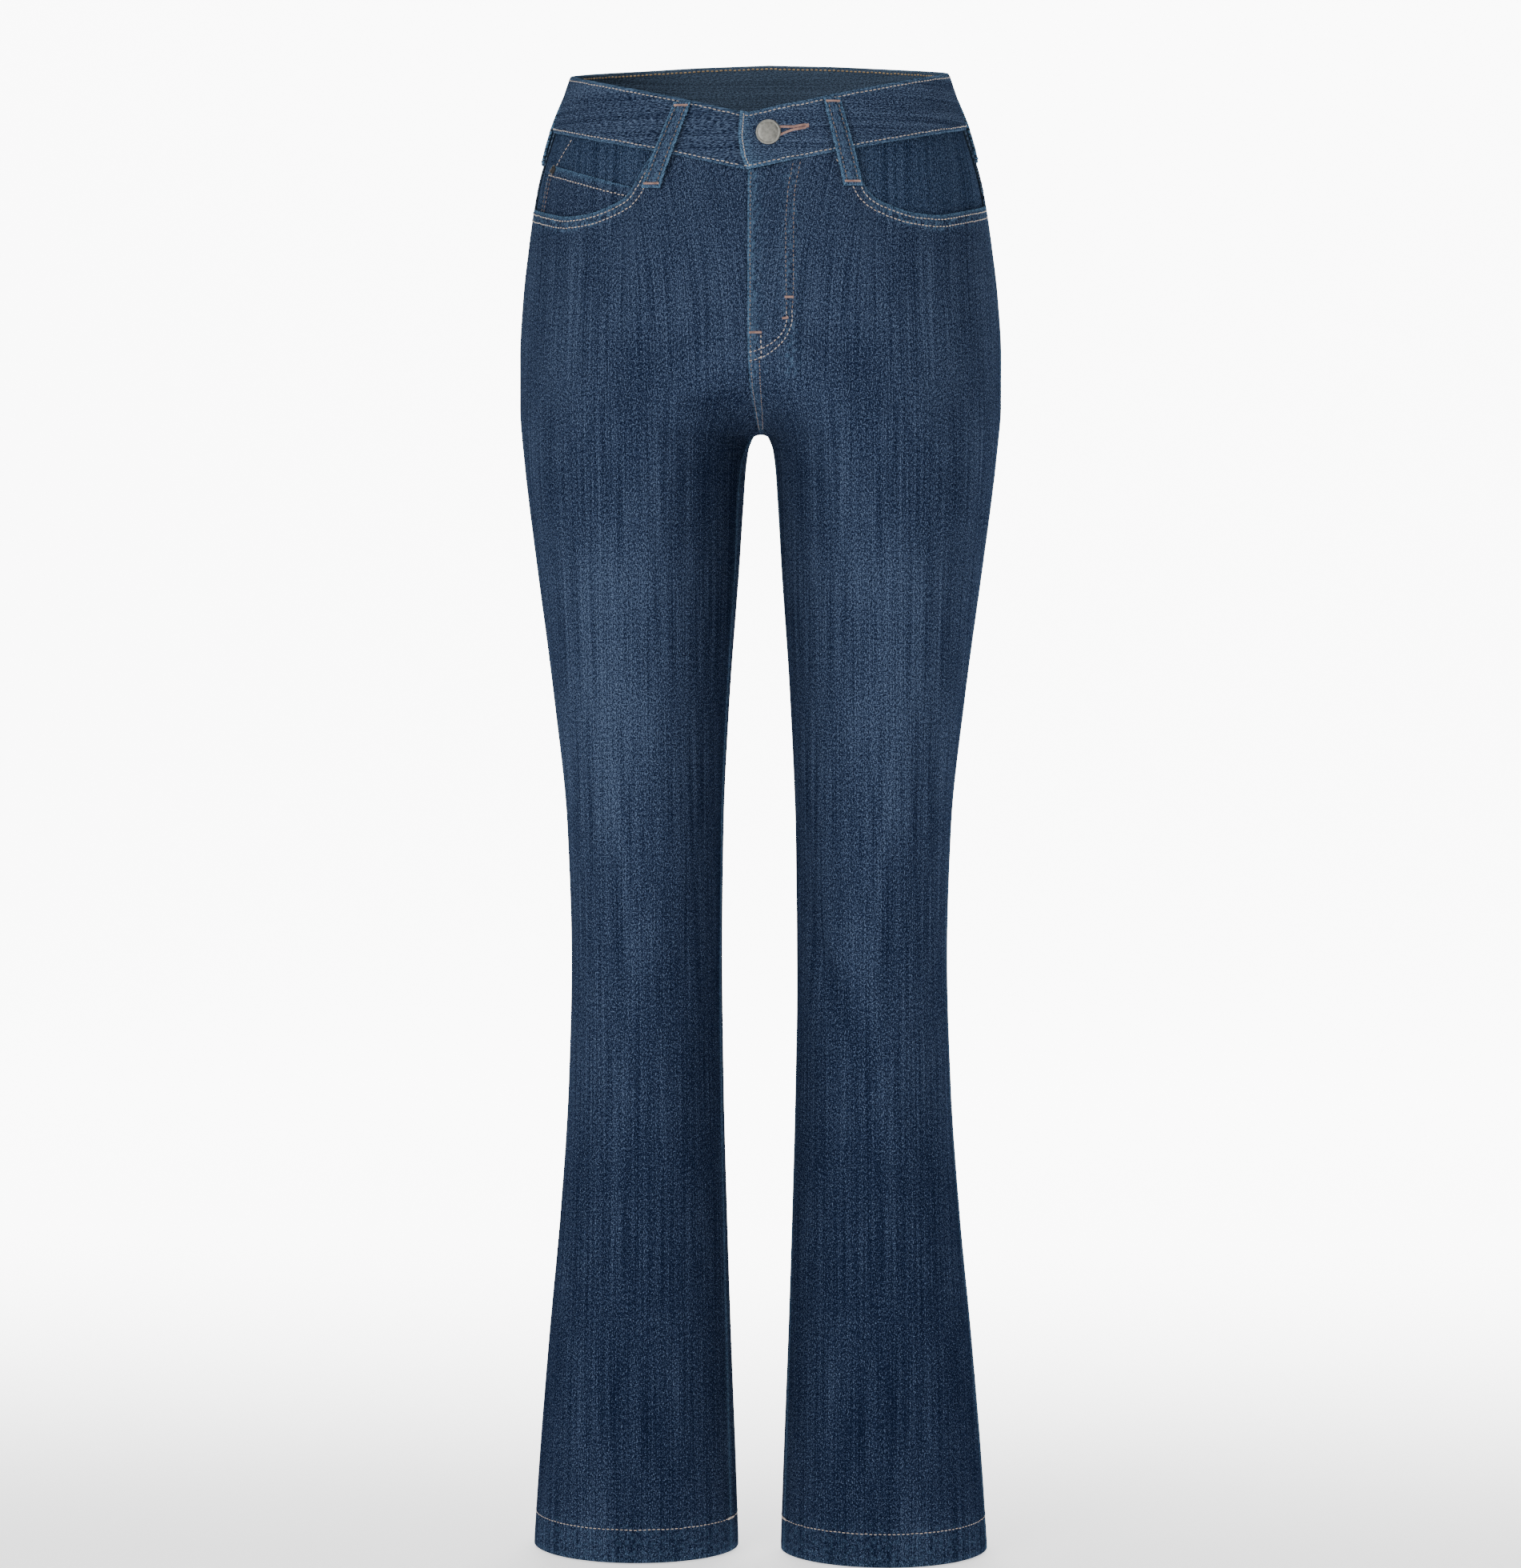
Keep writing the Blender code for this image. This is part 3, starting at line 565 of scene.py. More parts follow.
    def loops(self) -> list[Loop]:
        """The five belt loops.

        Returns:
            The front pair, the side pair and the one at centre back.
        """
        found = []
        for side, (top, foot) in FRONT_LOOPS.items():
            shares = (float(self.share_of(x, z)) for x, z in zip((top, foot), self.loop_ends))
            found.append(Loop("belt_loop_front_" + side.word, side, *shares))
        for side, shares in SIDE_LOOPS.items():
            found.append(Loop("belt_loop_side_" + side.word, side, *shares))
        return [*found, Loop("belt_loop_back", Side.LEFT, 2.0, 2.0)]

    def loop_point(self, loop: Loop, v: Array, aside: Array, out: Array | float) -> Pair:
        """Points and normals on a belt loop, which bows out between its tacked ends.

        Args:
            loop: The belt loop.
            v: 0 at its top, 1 at its foot.
            aside: Share from its middle line.
            out: Distance outward from its own inner face.

        Returns:
            The points and the outward normals.
        """
        middle = loop.top + (loop.foot - loop.top) * v
        z = self.at("rim", middle) - self.loop_drop - self.loop_length * v
        share = middle + aside
        flip = loop.side.value * np.where(share > 2.0, -1.0, 1.0)
        share = np.where(share > 2.0, 4.0 - share, share)
        bow = np.where(v < 0.64, 1.1, 0.9) + self.loop_bow * np.sin(math.pi * v ** 1.4) ** 0.8
        return self.above(share, z, flip, bow + out)

    def panel_width(self, z: Array, back: bool) -> Array:
        """A panel's width along the cloth, from its side seam to its inner edge."""
        sign = 1.0 if back else -1.0
        return self.length(z, back) + sign * (self.at("inseam", z) + self.at("outseam", z))

    def spread(self, part: Array, z: Array, back: bool) -> Array:
        """Distance of each column from the side seam, with the thigh's cloth near the inseam.

        Args:
            part: 0 at the side seam, 1 at the other edge.
            z: Heights.
            back: Whether it is a back.

        Returns:
            Distances in millimetres.
        """
        total = self.panel_width(z, back)
        rise = self.back_rise if back else self.front_rise
        levels = np.array([self.thigh_z, self.crotch_z + rise])
        plain = np.interp(z, levels, self.panel_width(levels, back))
        plain = np.where((z < levels[0]) | (z > levels[1]), total, plain)
        return plain * part + (total - plain) * part ** 3

    def front_share(self, part: Array, z: Array) -> Array:
        """Share of a front's columns, part 0 at the centre or inseam and 1 at the side."""
        away = self.spread(1.0 - part, z, False) + self.at("outseam", z)
        return 1.0 - away / self.length(z)

    def base_share(self, part: Array) -> Array:
        """Share of a front's columns at the height where its pocket is set out."""
        return self.front_share(part, np.full(np.shape(part), self.base_z))

    def back_share(self, part: Array, z: Array) -> Array:
        """Share of a back's columns, part 0 at the side and 1 at the centre or inseam.

        Args:
            part: Place across the panel.
            z: Heights.

        Returns:
            The shares.
        """
        front, back = self.length(z), self.length(z, True)
        away = self.spread(part, z, True) - self.at("outseam", z)
        return np.where(away < 0, 1 + away / front,
                        np.where(away > back, 2 + (away - back) / front, 1 + away / back))

    def lapped(self, share: Array, z: Array, u: Array, inner: Array | bool = True) -> Array:
        """Share of a piece's columns, with its two edges moved just past their seams.

        Args:
            share: Share of each point.
            z: Heights.
            u: 0 at one edge, 1 at the other.
            inner: Where the edge at u 0 is moved too.

        Returns:
            The shares.
        """
        lap = (u > 1 - 1e-6) * 1.0 - (u < 1e-6) * inner
        return share + self.seam_lap * lap / self.length(z)

    def front_top(self, part: Array) -> Array:
        """Height of a front's top edge, which follows the band and the pocket mouth.

        Args:
            part: 0 at the centre, 1 at the side.

        Returns:
            Heights in millimetres.
        """
        base = self.base_share(part)
        z = self.band_foot(base)
        around = base * self.length(z)
        tuck = (self.tuck + self.seam_gap) * smoothstep((self.mouth_start - around) / 6.0)
        z = z - self.at("mouth", around) - self.seam_gap + tuck
        return z - 0.6 * smoothstep((0.16 - base) / 0.1)

    def back_top(self, part: Array) -> Array:
        """Height of a back's top edge under the yoke."""
        share = self.back_share(part, np.full(np.shape(part), self.yoke_z))
        return self.at("yoke", share) + self.seam_lap

    def patch_place(self, u: Array, v: Array) -> Pair:
        """Share and height on a back pocket, on the same columns and rows as the solid.

        Args:
            u: 0 and 1 at its two sides.
            v: 0 at the mouth, 1 at the foot.

        Returns:
            Share and height in millimetres of each point.
        """
        part = np.interp(u, np.linspace(0, 1, len(self.patch_columns)), self.patch_columns)
        top = self.back_top(part)
        levels = [top + (self.fade_z - top) * r for r in self.patch_upper]
        levels += [np.full(u.shape, z) for z in self.patch_lower]
        z = between(levels, v * (len(levels) - 1))
        dip = self.patch_point * np.clip(1 - np.abs(part - 0.52) / 0.26, 0.0, 1.0)
        z = z - dip * smoothstep((z + 150.0) / -80.0) * smoothstep((z + 480.0) / 170.0)
        return self.back_share(part, z), z


# ------------------------------------------------------------------------- finishes
class Finish:
    """A node material in the making."""

    def __init__(self, name: str, values: dict[str, float | Colour]) -> None:
        """Start from the plain shader.

        Args:
            name: The material's name.
            values: Plain values of the shader's inputs.
        """
        self.material = bpy.data.materials.new(name)
        self.material.use_nodes = True
        self.tree = self.material.node_tree
        for key, value in values.items():
            self.give(key, value)

    def put(self, value: object, socket: bpy.types.NodeSocket) -> None:
        """Link a socket to another one, or set a number, a vector or a colour.

        Args:
            value: The socket or the value.
            socket: The input that takes it.
        """
        if isinstance(value, bpy.types.NodeSocket):
            self.tree.links.new(value, socket)
        else:
            socket.default_value = (*value, 1.0) if socket.type == "RGBA" else value

    def give(self, key: str, value: object) -> None:
        """Give a value to an input of the shader."""
        self.put(value, self.tree.nodes["Principled BSDF"].inputs[key])

    def node(self, kind: str, inputs: dict[str | int, object], output: str | int = 0,
             **settings: str | bool) -> bpy.types.NodeSocket:
        """Add a node.

        Args:
            kind: Its type.
            inputs: What goes into it.
            output: Which of its outputs is wanted.
            settings: Its own settings.

        Returns:
            The output.
        """
        node = self.tree.nodes.new("ShaderNode" + kind)
        for key, value in settings.items():
            setattr(node, key, value)
        for key, value in inputs.items():
            self.put(value, node.inputs[key])
        return node.outputs[output]

    def maths(self, kind: str, a: object, b: object, clamp: bool = False
              ) -> bpy.types.NodeSocket:
        """One sum of two values."""
        return self.node("Math", {0: a, 1: b}, operation=kind, use_clamp=clamp)

    def blend(self, share: object, a: object, b: object) -> bpy.types.NodeSocket:
        """Mix two colours."""
        return self.node("Mix", {"Factor": share, 6: a, 7: b}, 2, data_type="RGBA")

    def ramp(self, value: object, *stops: tuple[float, Colour]) -> bpy.types.NodeSocket:
        """Colours along a value; the first two stops are its ends.

        Args:
            value: What picks the colour.
            stops: Place and colour of each stop.

        Returns:
            The colour.
        """
        node = self.tree.nodes.new("ShaderNodeValToRGB")
        spots = node.color_ramp.elements
        for index, (place, colour) in enumerate(stops):
            spot = spots[index] if index < 2 else spots.new(place)
            spot.position, spot.color = place, (*colour, 1.0)
        self.put(value, node.inputs["Fac"])
        return node.outputs["Color"]

    def speckle(self, scale: float, detail: float) -> bpy.types.NodeSocket:
        """Even noise through the piece."""
        place = self.node("TexCoord", {}, "Object")
        return self.node("TexNoise", {"Vector": place, "Scale": scale, "Detail": detail}, "Fac")

    def bump(self, height: object, strength: float, distance: float) -> None:
        """Give the surface a fine relief."""
        self.give("Normal", self.node("Bump", {"Height": height, "Strength": strength,
                                               "Distance": distance}, "Normal"))


@dataclass(frozen=True)
class Denim:
    """Indigo twill: vertical slubs, twill speckle, faded and worn places, and painted shade and
    highlight.
    """

    name: str
    deep: Colour = (0.0022, 0.0048, 0.0145)
    mid: Colour = (0.0118, 0.0202, 0.0463)
    pale: Colour = (0.098, 0.138, 0.215)
    worn: Colour = (0.105, 0.195, 0.31)
    back: Colour = (0.08, 0.115, 0.165)
    roughness: float = 0.9

    def build(self) -> bpy.types.Material:
        """Make the node material.

        Returns:
            The material, which reads the pieces' cloth map and attributes.
        """
        finish = Finish(self.name, {"Roughness": self.roughness, "Specular IOR Level": 0.0})
        maths = finish.maths
        cloth_map = finish.node("UVMap", {}, "UV", uv_map="cloth")
        fade_and_shade, wear, reverse, pucker = (
            finish.node("Attribute", {}, "Fac", attribute_name=name)
            for name in ("fade_and_shade", "wear", "reverse", "pucker"))

        def noise(across: float, up: float, detail: float, turn: float = 0.0,
                  rough: float = 0.6) -> bpy.types.NodeSocket:
            """Stretched noise over the cloth map, in cells per metre.

            Args:
                across: Cells across the cloth.
                up: Cells along it.
                detail: Finer octaves added.
                turn: Turn of the map in radians.
                rough: How strong the finer octaves are.

            Returns:
                The noise, from 0 to 1.
            """
            place = finish.node("Mapping", {"Vector": cloth_map, "Scale": (across, up, 1.0),
                                            "Rotation": (0.0, 0.0, turn)})
            return finish.node("TexNoise", {"Vector": place, "Scale": 1.0, "Detail": detail,
                                            "Roughness": rough}, "Fac", noise_dimensions="2D")

        slub = noise(950.0, 9.0, 2.0)
        broad = noise(300.0, 4.5, 2.0)
        fleck = maths("MULTIPLY", maths("SUBTRACT", noise(1500.0, 1000.0, 0.0), 0.62), 5.0, True)
        speck = noise(1500.0, 1300.0, 2.0, rough=0.8)
        twill = noise(1500.0, 520.0, 1.0, turn=0.62)
        cloud = noise(20.0, 12.0, 3.0)
        mottle = noise(330.0, 260.0, 3.0)

        grain = 0.0
        for texture, amount in ((slub, 0.88), (broad, 0.5), (speck, 4.0), (twill, 2.2),
                                (cloud, 0.36)):
            grain = maths("ADD", maths("MULTIPLY", maths("SUBTRACT", texture, 0.5), amount), grain)
        # the pieces' fade values, which also carry painted shade and highlight, set how pale the
        # dye is
        value = maths("ADD", maths("MULTIPLY", grain, 0.62), fade_and_shade)
        value = maths("ADD", maths("MULTIPLY", fleck, 0.16), value)
        dyed = finish.ramp(value, (0.12, self.deep), (0.95, self.pale), (0.5, self.mid))

        rub = maths("MULTIPLY", wear, maths("ADD", 0.62, maths("MULTIPLY", grain, 1.1)), True)
        patch = maths("MULTIPLY", maths("SUBTRACT", mottle, 0.47), 5.0, True)
        patch = maths("MULTIPLY", patch, maths("MULTIPLY", pucker, 0.36), True)
        colour = finish.blend(maths("MAXIMUM", rub, patch), dyed, self.worn)
        under = finish.blend(maths("ADD", 0.5, grain, True), tuple(0.55 * c for c in self.back),
                             tuple(1.35 * c for c in self.back))
        finish.give("Base Color", finish.blend(reverse, colour, under))

        height = maths("ADD", maths("MULTIPLY", speck, 0.5), maths("MULTIPLY", slub, 0.6))
        height = maths("ADD", height, maths("MULTIPLY", twill, 0.5))
        height = maths("ADD", height, maths("MULTIPLY", mottle, maths("MULTIPLY", pucker, 3.0)))
        finish.bump(height, 0.55, 0.0007)
        return finish.material


@dataclass(frozen=True)
class Thread:
    """Twisted sewing thread with a slight colour change along it."""

    name: str
    light: Colour
    dark: Colour

    def build(self) -> bpy.types.Material:
        """Make the node material.

        Returns:
            The material.
        """
        finish = Finish(self.name, {"Roughness": 0.6, "Sheen Weight": 0.2})
        finish.give("Base Color", finish.ramp(finish.speckle(260.0, 3.0), (0.3, self.dark),
                                              (0.7, self.light)))
        return finish.material


@dataclass(frozen=True)
class Metal:
    """Antiqued metal: brushed, darker where it was not rubbed."""

    name: str
    bright: Colour
    dull: Colour
    roughness: float = 0.38

    def build(self) -> bpy.types.Material:
        """Make the node material.

        Returns:
            The material.
        """
        finish = Finish(self.name, {"Metallic": 0.92})
        grain = finish.speckle(520.0, 5.0)
        finish.give("Base Color", finish.ramp(grain, (0.32, self.dull), (0.66, self.bright)))
        finish.give("Roughness", finish.node(
            "MapRange", {"Value": grain, "To Min": self.roughness - 0.1,
                         "To Max": self.roughness + 0.15}, "Result"))
        finish.bump(grain, 0.25, 0.0002)
        return finish.material


# ---------------------------------------------------------------------- mesh helpers
def finish_mesh(name: str, bm: bmesh.types.BMesh, material: bpy.types.Material
                ) -> bpy.types.Object:
    """Turn a bmesh into a smooth object with one material, at the origin.

    Args:
        name: The piece's name.
        bm: The mesh, which is freed.
        material: Its finish.

    Returns:
        The piece.
    """
    for f in bm.faces:
        f.smooth = True
    mesh = bpy.data.meshes.new(name)
    bm.to_mesh(mesh)
    bm.free()
    mesh.materials.append(material)
    piece = bpy.data.objects.new(name, mesh)
    bpy.context.scene.collection.objects.link(piece)
    return piece


def stand_in(piece: bpy.types.Object, node: str) -> None:
    """Let a piece ride on the body and take the place of a solid.

    Args:
        piece: The piece.
        node: The solid that it stands for.
    """
    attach(piece, "root")
    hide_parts(node)


@dataclass
class Shell:
    """A closed shell of cloth between an outer and an inner layer."""

    node: str
    us: Array
    vs: Array
    layer: Layer
    looks: Callable[[Array, Array], Looks]
    thickness: float
    name: str = ""
    slot: str = "denim"
    reverse: float = 1.0             # how much of the cloth's pale side its inner layer shows
    ring: bool = False
    crosswise: bool = False          # whether the warp runs round instead of up

    def build(self, material: bpy.types.Material) -> bpy.types.Object:
        """Map a flat grid onto the two layers and close it.

        Args:
            material: The finish.

        Returns:
            The new piece.
        """
        grid_u, grid_v = np.meshgrid(self.us, self.vs, indexing="ij")
        outer = self.layer(grid_u, grid_v, 0.0)
        inner = self.layer(grid_u, grid_v, self.thickness)
        self._soften(outer, inner)
        bm = self._weave(outer, inner, grid_u, grid_v)
        piece = finish_mesh(self.name or "denim_" + self.node, bm, material)
        stand_in(piece, self.node)
        return piece

    @staticmethod
    def _soften(outer: Array, inner: Array, share: float = 0.3) -> None:
        """Draw the two layers together at the first and the last row.

        Args:
            outer: Points of the outer layer, which are moved.
            inner: Points of the inner layer, which are moved.
            share: How far each goes towards their middle.
        """
        for index in (0, -1):
            mean = (outer[:, index] + inner[:, index]) / 2
            outer[:, index] += (mean - outer[:, index]) * share
            inner[:, index] += (mean - inner[:, index]) * share

    def _weave(self, outer: Array, inner: Array, grid_u: Array, grid_v: Array
               ) -> bmesh.types.BMesh:
        """Make the closed mesh with its cloth map and the attributes that its finish reads.

        Args:
            outer: Points of the outer layer.
            inner: Points of the inner layer.
            grid_u: Place across, for each point.
            grid_v: Place down, for each point.

        Returns:
            The mesh.
        """
        nu, nv = len(self.us) - 1, len(self.vs) - 1
        across = np.zeros(grid_u.shape)
        across[1:] = np.cumsum(np.linalg.norm(np.diff(outer, axis=0), axis=-1), axis=0)
        across -= self._grain_line(outer, across)[None, :]
        fade_and_shade, wear, pucker = (np.broadcast_to(value, grid_u.shape)
                              for value in self.looks(grid_u, grid_v))
        looks = {"fade_and_shade": fade_and_shade, "wear": np.clip(wear, 0.0, 1.0), "pucker": np.clip(pucker, 0.0, 1.0)}
        bm = bmesh.new()
        bmesh.ops.create_grid(bm, x_segments=nu, y_segments=nv, size=1.0)
        layers = {key: bm.verts.layers.float.new(key) for key in (*looks, "reverse")}
        cloth_u = bm.verts.layers.float.new("cloth_u")
        rank = bm.verts.layers.int.new("rank")
        twin = bmesh.ops.duplicate(bm, geom=[*bm.verts, *bm.edges, *bm.faces])["geom"]
        copies = {v for v in twin if isinstance(v, bmesh.types.BMVert)}
        for v in bm.verts:
            i, j = round((v.co.x + 1) * nu / 2), round((1 - v.co.y) * nv / 2)
            under = v in copies
            for key, value in looks.items():
                v[layers[key]] = float(value[i, j])
            v[layers["reverse"]] = self.reverse if under else 0.0
            v[cloth_u] = float(across[i, j]) * MM
            v[rank] = j
            v.co = (inner if under else outer)[i, j] * MM
        bmesh.ops.reverse_faces(bm, faces=[f for f in twin if isinstance(f, bmesh.types.BMFace)])
        if self.ring:
            bmesh.ops.remove_doubles(bm, verts=list(bm.verts), dist=1e-6)
        border = [e for e in bm.edges if e.is_boundary]
        for row in ((0,), (nv,)) if self.ring else (range(nv + 1),):
            bmesh.ops.bridge_loops(bm, edges=[e for e in border if e.is_valid
                                              and e.verts[0][rank] in row])
        bmesh.ops.recalc_face_normals(bm, faces=bm.faces)
        uv = bm.loops.layers.uv.new("cloth")
        for f in bm.faces:
            for loop in f.loops:
                place = (loop.vert[cloth_u], loop.vert.co.z)
                loop[uv].uv = place[::-1] if self.crosswise else place
        return bm

    @staticmethod
    def _grain_line(outer: Array, across: Array, plumb: float = 86.0) -> Array:
        """Distance across each row to the upright line that the warp follows.

        Args:
            outer: Points of the outer layer.
            across: Distance of each point from the first column.
            plumb: How far the upright line is from the garment's centre.

        Returns:
            One distance for each row.
        """
        away = np.abs(outer[..., 0]) - plumb
        crossing = away[:-1] * away[1:] <= 0
        k = np.where(crossing.any(axis=0), crossing.argmax(axis=0), outer.shape[0] // 2)
        row, after = np.arange(outer.shape[1]), np.minimum(k + 1, outer.shape[0] - 1)
        a, b = away[k, row], away[after, row]
        t = np.where(crossing.any(axis=0), a / np.where(a == b, 1.0, a - b), 0.0)
        return across[k, row] + t * (across[after, row] - across[k, row])


# ---------------------------------------------------------------------- cloth pieces
@dataclass
class Tailor:
    """Cuts every cloth piece from the garment's surface."""

    garment: Garment
    denim: bpy.types.Material
    facing_denim: bpy.types.Material
    panel_columns: int = 62
    panel_rows: int = 268
    row_levels: tuple[tuple[float, float], ...] = (
        (0.0, 0.0), (0.2, -200.0), (0.265, -244.0), (0.315, -253.9), (0.32, -254.2),
        (0.37, -266.0), (0.42, -300.0), (1.0, -1055.0),
    )
    facing_start: float = 0.29
    facing_under: float = 5.0        # how far the facing runs on past the side seam
    coin_parts: tuple[float, float] = (0.395, 0.85)
    band_overlap: float = 24.0       # length of the end under the button
    loop_width: float = 12.0
    loop_wall: float = 2.0
    underlap: float = 3.0            # how far the front under the fly ends short

    def on_cloth(self, side: Side, place: Callable[[Array, Array], Pair], out: float = 0.0
                 ) -> Layer:
        """A layer that lies on the cloth, moved out.

        Args:
            side: The half.
            place: Share and height of each point of the piece.
            out: Distance outward of its outer face.

        Returns:
            The layer.
        """
        return lambda u, v, depth: self.garment.cloth(side, *place(u, v), out - depth)

    def rows(self, v: Array, top: Array) -> Array:
        """Height of a panel's rows.

        Args:
            v: 0 at the top edge, 1 at the hem.
            top: Height of the top edge at each point.

        Returns:
            Heights in millimetres.
        """
        share, level = np.array(self.row_levels).T
        high = top + (self.garment.fade_z - top) * v / share[1]
        return np.where(v < share[1], high, np.interp(v, share[1:], level[1:]))

    @staticmethod
    def hem_pull(foot: Array) -> Array:
        """How puckered the cloth is, at a height above the foot of a leg."""
        return 0.3 * near(np.abs(foot - 14.0) - 13.0, 2.0)

    def leg_fade_and_shade(self, share: Array, z: Array, side: Side) -> Array:
        """How pale the cloth is, from 0.2 dark to 0.8 pale: worn fade with painted highlight on the
        thighs, and painted shade on the inner thighs, on the left leg's outer side and in the
        folds.

        Args:
            share: Place round the half.
            z: Heights.
            side: The half.

        Returns:
            The values.
        """
        front, left = share <= 1.0, side is Side.LEFT
        theta = np.where(front, share, 2.0 - share)
        # pale thighs: worn fade and painted highlight, stronger on the right leg
        thigh = smoothstep((-200.0 - z) / 200.0) * smoothstep((z + 760.0) / 330.0)
        thigh = thigh * np.exp(-((theta - 0.55) / 0.26) ** 2)
        hip = smoothstep((z + 330.0) / 180.0)
        # painted shade on the inner thighs, strongest on the right leg
        inner = near(theta, 0.2) * smoothstep((z + 900.0) / 300.0) * smoothstep((-225.0 - z) / 60.0)
        inner = inner * np.where(front, 1.0, 0.2) * (0.5 if left else 1.35)
        outer = near(1.0 - theta, 0.2) * smoothstep((-420.0 - z) / 150.0)
        value = 0.37 + (0.1 if left else 0.13) * thigh + 0.07 * hip - 0.16 * inner
        value = value - 0.085 * smoothstep((-560.0 - z) / 360.0)
        if left:
            # painted shade on the left leg's outer side
            value = value - 0.018 * smoothstep((-300.0 - z) / 200.0) - 0.05 * outer
        value = value + 0.03 * smoothstep((-985.0 - z) / 50.0)
        value = value - 0.02 * smoothstep((theta - 0.86) / 0.14)
        # painted shade in the folds' troughs and painted highlight on their ridges
        return value + 0.028 * self.garment.fold_offset(side, share, z)

    def front(self, side: Side) -> None:
        """A front panel with its pocket mouth and fly.

        Args:
            side: The half.
        """
        g = self.garment

        def place(u: Array, v: Array) -> Pair:
            """Share and height."""
            z = self.rows(v, g.front_top(u))
            return g.lapped(g.front_share(u, z), z, u, z < g.crotch_z), z

        def layer(u: Array, v: Array, depth: float) -> Array:
            """Outer or inner points; the front under the fly ends short of the other.

            Args:
                u: 0 at the first column, 1 at the last.
                v: 0 at the first row, 1 at the last.
                depth: 0 for the outer layer, the wall for the inner one.

            Returns:
                Points in millimetres.
            """
            share, z = place(u, v)
            p = g.cloth(side, share, z, g.fly_relief(side, share, z) - depth)
            if side is Side.RIGHT:
                slide = np.clip(1 - u / 0.1, 0.0, 1.0) * smoothstep((z + 213.0) / 30.0)
                p[..., 0] += self.underlap * slide
            return p

        def looks(u: Array, v: Array) -> Looks:
            """Rubbed and puckered at the mouth, hem, side seam, rise and fly.

            Args:
                u: 0 at the first column, 1 at the last.
                v: 0 at the first row, 1 at the last.

            Returns:
                Fade with painted shade and highlight, wear and pucker of each point.
            """
            share, z = place(u, v)
            length, below, foot = g.length(z), g.front_top(u) - z, z - g.hem_z
            around, rise, lapping = share * length, z > g.crotch_z, side is Side.LEFT
            base = g.base_share(u) * g.length(np.full(u.shape, g.yoke_z))
            mouth = near(below, 1.6) * smoothstep((base - g.mouth_start) / 6.0)
            seams = 0.45 * near((1 - share) * length - g.at("outseam", z), 1.6)
            seams = seams + 0.5 * near(around - g.at("inseam", z), 1.2) * (z < g.crotch_z)
            fly = near(around, 1.5) * (0.5 + 0.5 * smoothstep((z + 225.0) / 30.0)) * rise * lapping
            pull = near(np.abs(below - 5.0) - 4.0, 1.5) * (around > 60) * rise
            pull = pull + self.hem_pull(foot)
            pull = pull + 1.3 * near(around - 4.0, 3.0) * rise * lapping
            pull = pull + 0.7 * near(np.abs(around - 29.0) - 3.0, 2.0) * (z > -215.0) * lapping
            return (self.leg_fade_and_shade(share, z, side),
                    mouth + seams + 0.15 * near(foot, 1.5) + 0.95 * fly, pull)

        us = np.unique(np.concatenate((lines(self.panel_columns, 190.0), [0.355, 0.372])))
        Shell("front_" + side.word, us, np.linspace(0, 1, self.panel_rows + 1), layer, looks,
              g.wall).build(self.denim)

    def back(self, side: Side) -> None:
        """A back panel.

        Args:
            side: The half.
        """
        g = self.garment

        def place(u: Array, v: Array) -> Pair:
            """Share and height."""
            z = self.rows(v, g.back_top(u))
            return g.lapped(g.back_share(u, z), z, u), z

        def looks(u: Array, v: Array) -> Looks:
            """Pale at the seat, rubbed at the seams and the hem, puckered where it is sewn.

            Args:
                u: 0 at the first column, 1 at the last.
                v: 0 at the first row, 1 at the last.

            Returns:
                Fade with painted shade and highlight, wear and pucker of each point.
            """
            share, z = place(u, v)
            width, foot = g.panel_width(z, True), z - g.hem_z
            seat = np.exp(-((u - 0.55) / 0.3) ** 2) * np.exp(-((z + 200.0) / 90.0) ** 2)
            wear = 0.45 * near(u * width, 1.6) + 0.4 * near((1 - u) * width, 1.6)
            pull = self.hem_pull(foot) + 0.6 * near(g.back_top(u) - z - 8.0, 2.0)
            pull = pull + 0.5 * near((1 - u) * width - 8.0, 2.0) * (z > g.crotch_z)
            return (self.leg_fade_and_shade(share, z, side) + 0.06 * seat,
                    wear + 0.15 * near(foot, 1.5), pull)

        Shell("back_" + side.word, lines(self.panel_columns, 250.0),
              np.linspace(0, 1, self.panel_rows + 1), self.on_cloth(side, place), looks,
              g.wall).build(self.denim)

    def yoke(self, side: Side) -> None:
        """A back yoke under the waistband.

        Args:
            side: The half.
        """
        g = self.garment

        def place(u: Array, v: Array) -> Pair:
            """Share and height.

            Args:
                u: 0 at the first column, 1 at the last.
                v: 0 at the first row, 1 at the last.

            Returns:
                Share and height in millimetres of each point.
            """
            base = g.back_share(u, np.full(u.shape, -70.0))
            high = g.band_foot(base) + g.tuck
            z = high + (g.at("yoke", base) - high) * v
            return g.lapped(g.back_share(u, z), z, u), z

        Shell("yoke_" + side.word, lines(44, 200.0), lines(16, 50.0), self.on_cloth(side, place),
              lambda u, v: (0.42, 0.5 * near(50 * (1 - v), 2.0), 0.0), g.wall).build(self.denim)

    def facing_rows(self, base: Array, v: Array) -> Array:
        """Heights of a facing's rows, from the band through the coin pocket to its end.

        Args:
            base: Share at the height where the pocket is set out.
            v: 0 at the band, 1 at the lower edge.

        Returns:
            Heights in millimetres.
        """
        g = self.garment
        high = g.band_foot(base)
        around = base * g.length(high)
        mouth, coin = g.at("mouth", around), g.at("coin", around)
        foot, end = np.maximum(mouth + 9.0, 36.0), np.maximum(mouth + 22.0, 50.0)
        start = np.full(np.shape(coin), -5 * g.tuck)
        return high - between((start, coin, (coin + foot) / 2, foot, end), v * 4)

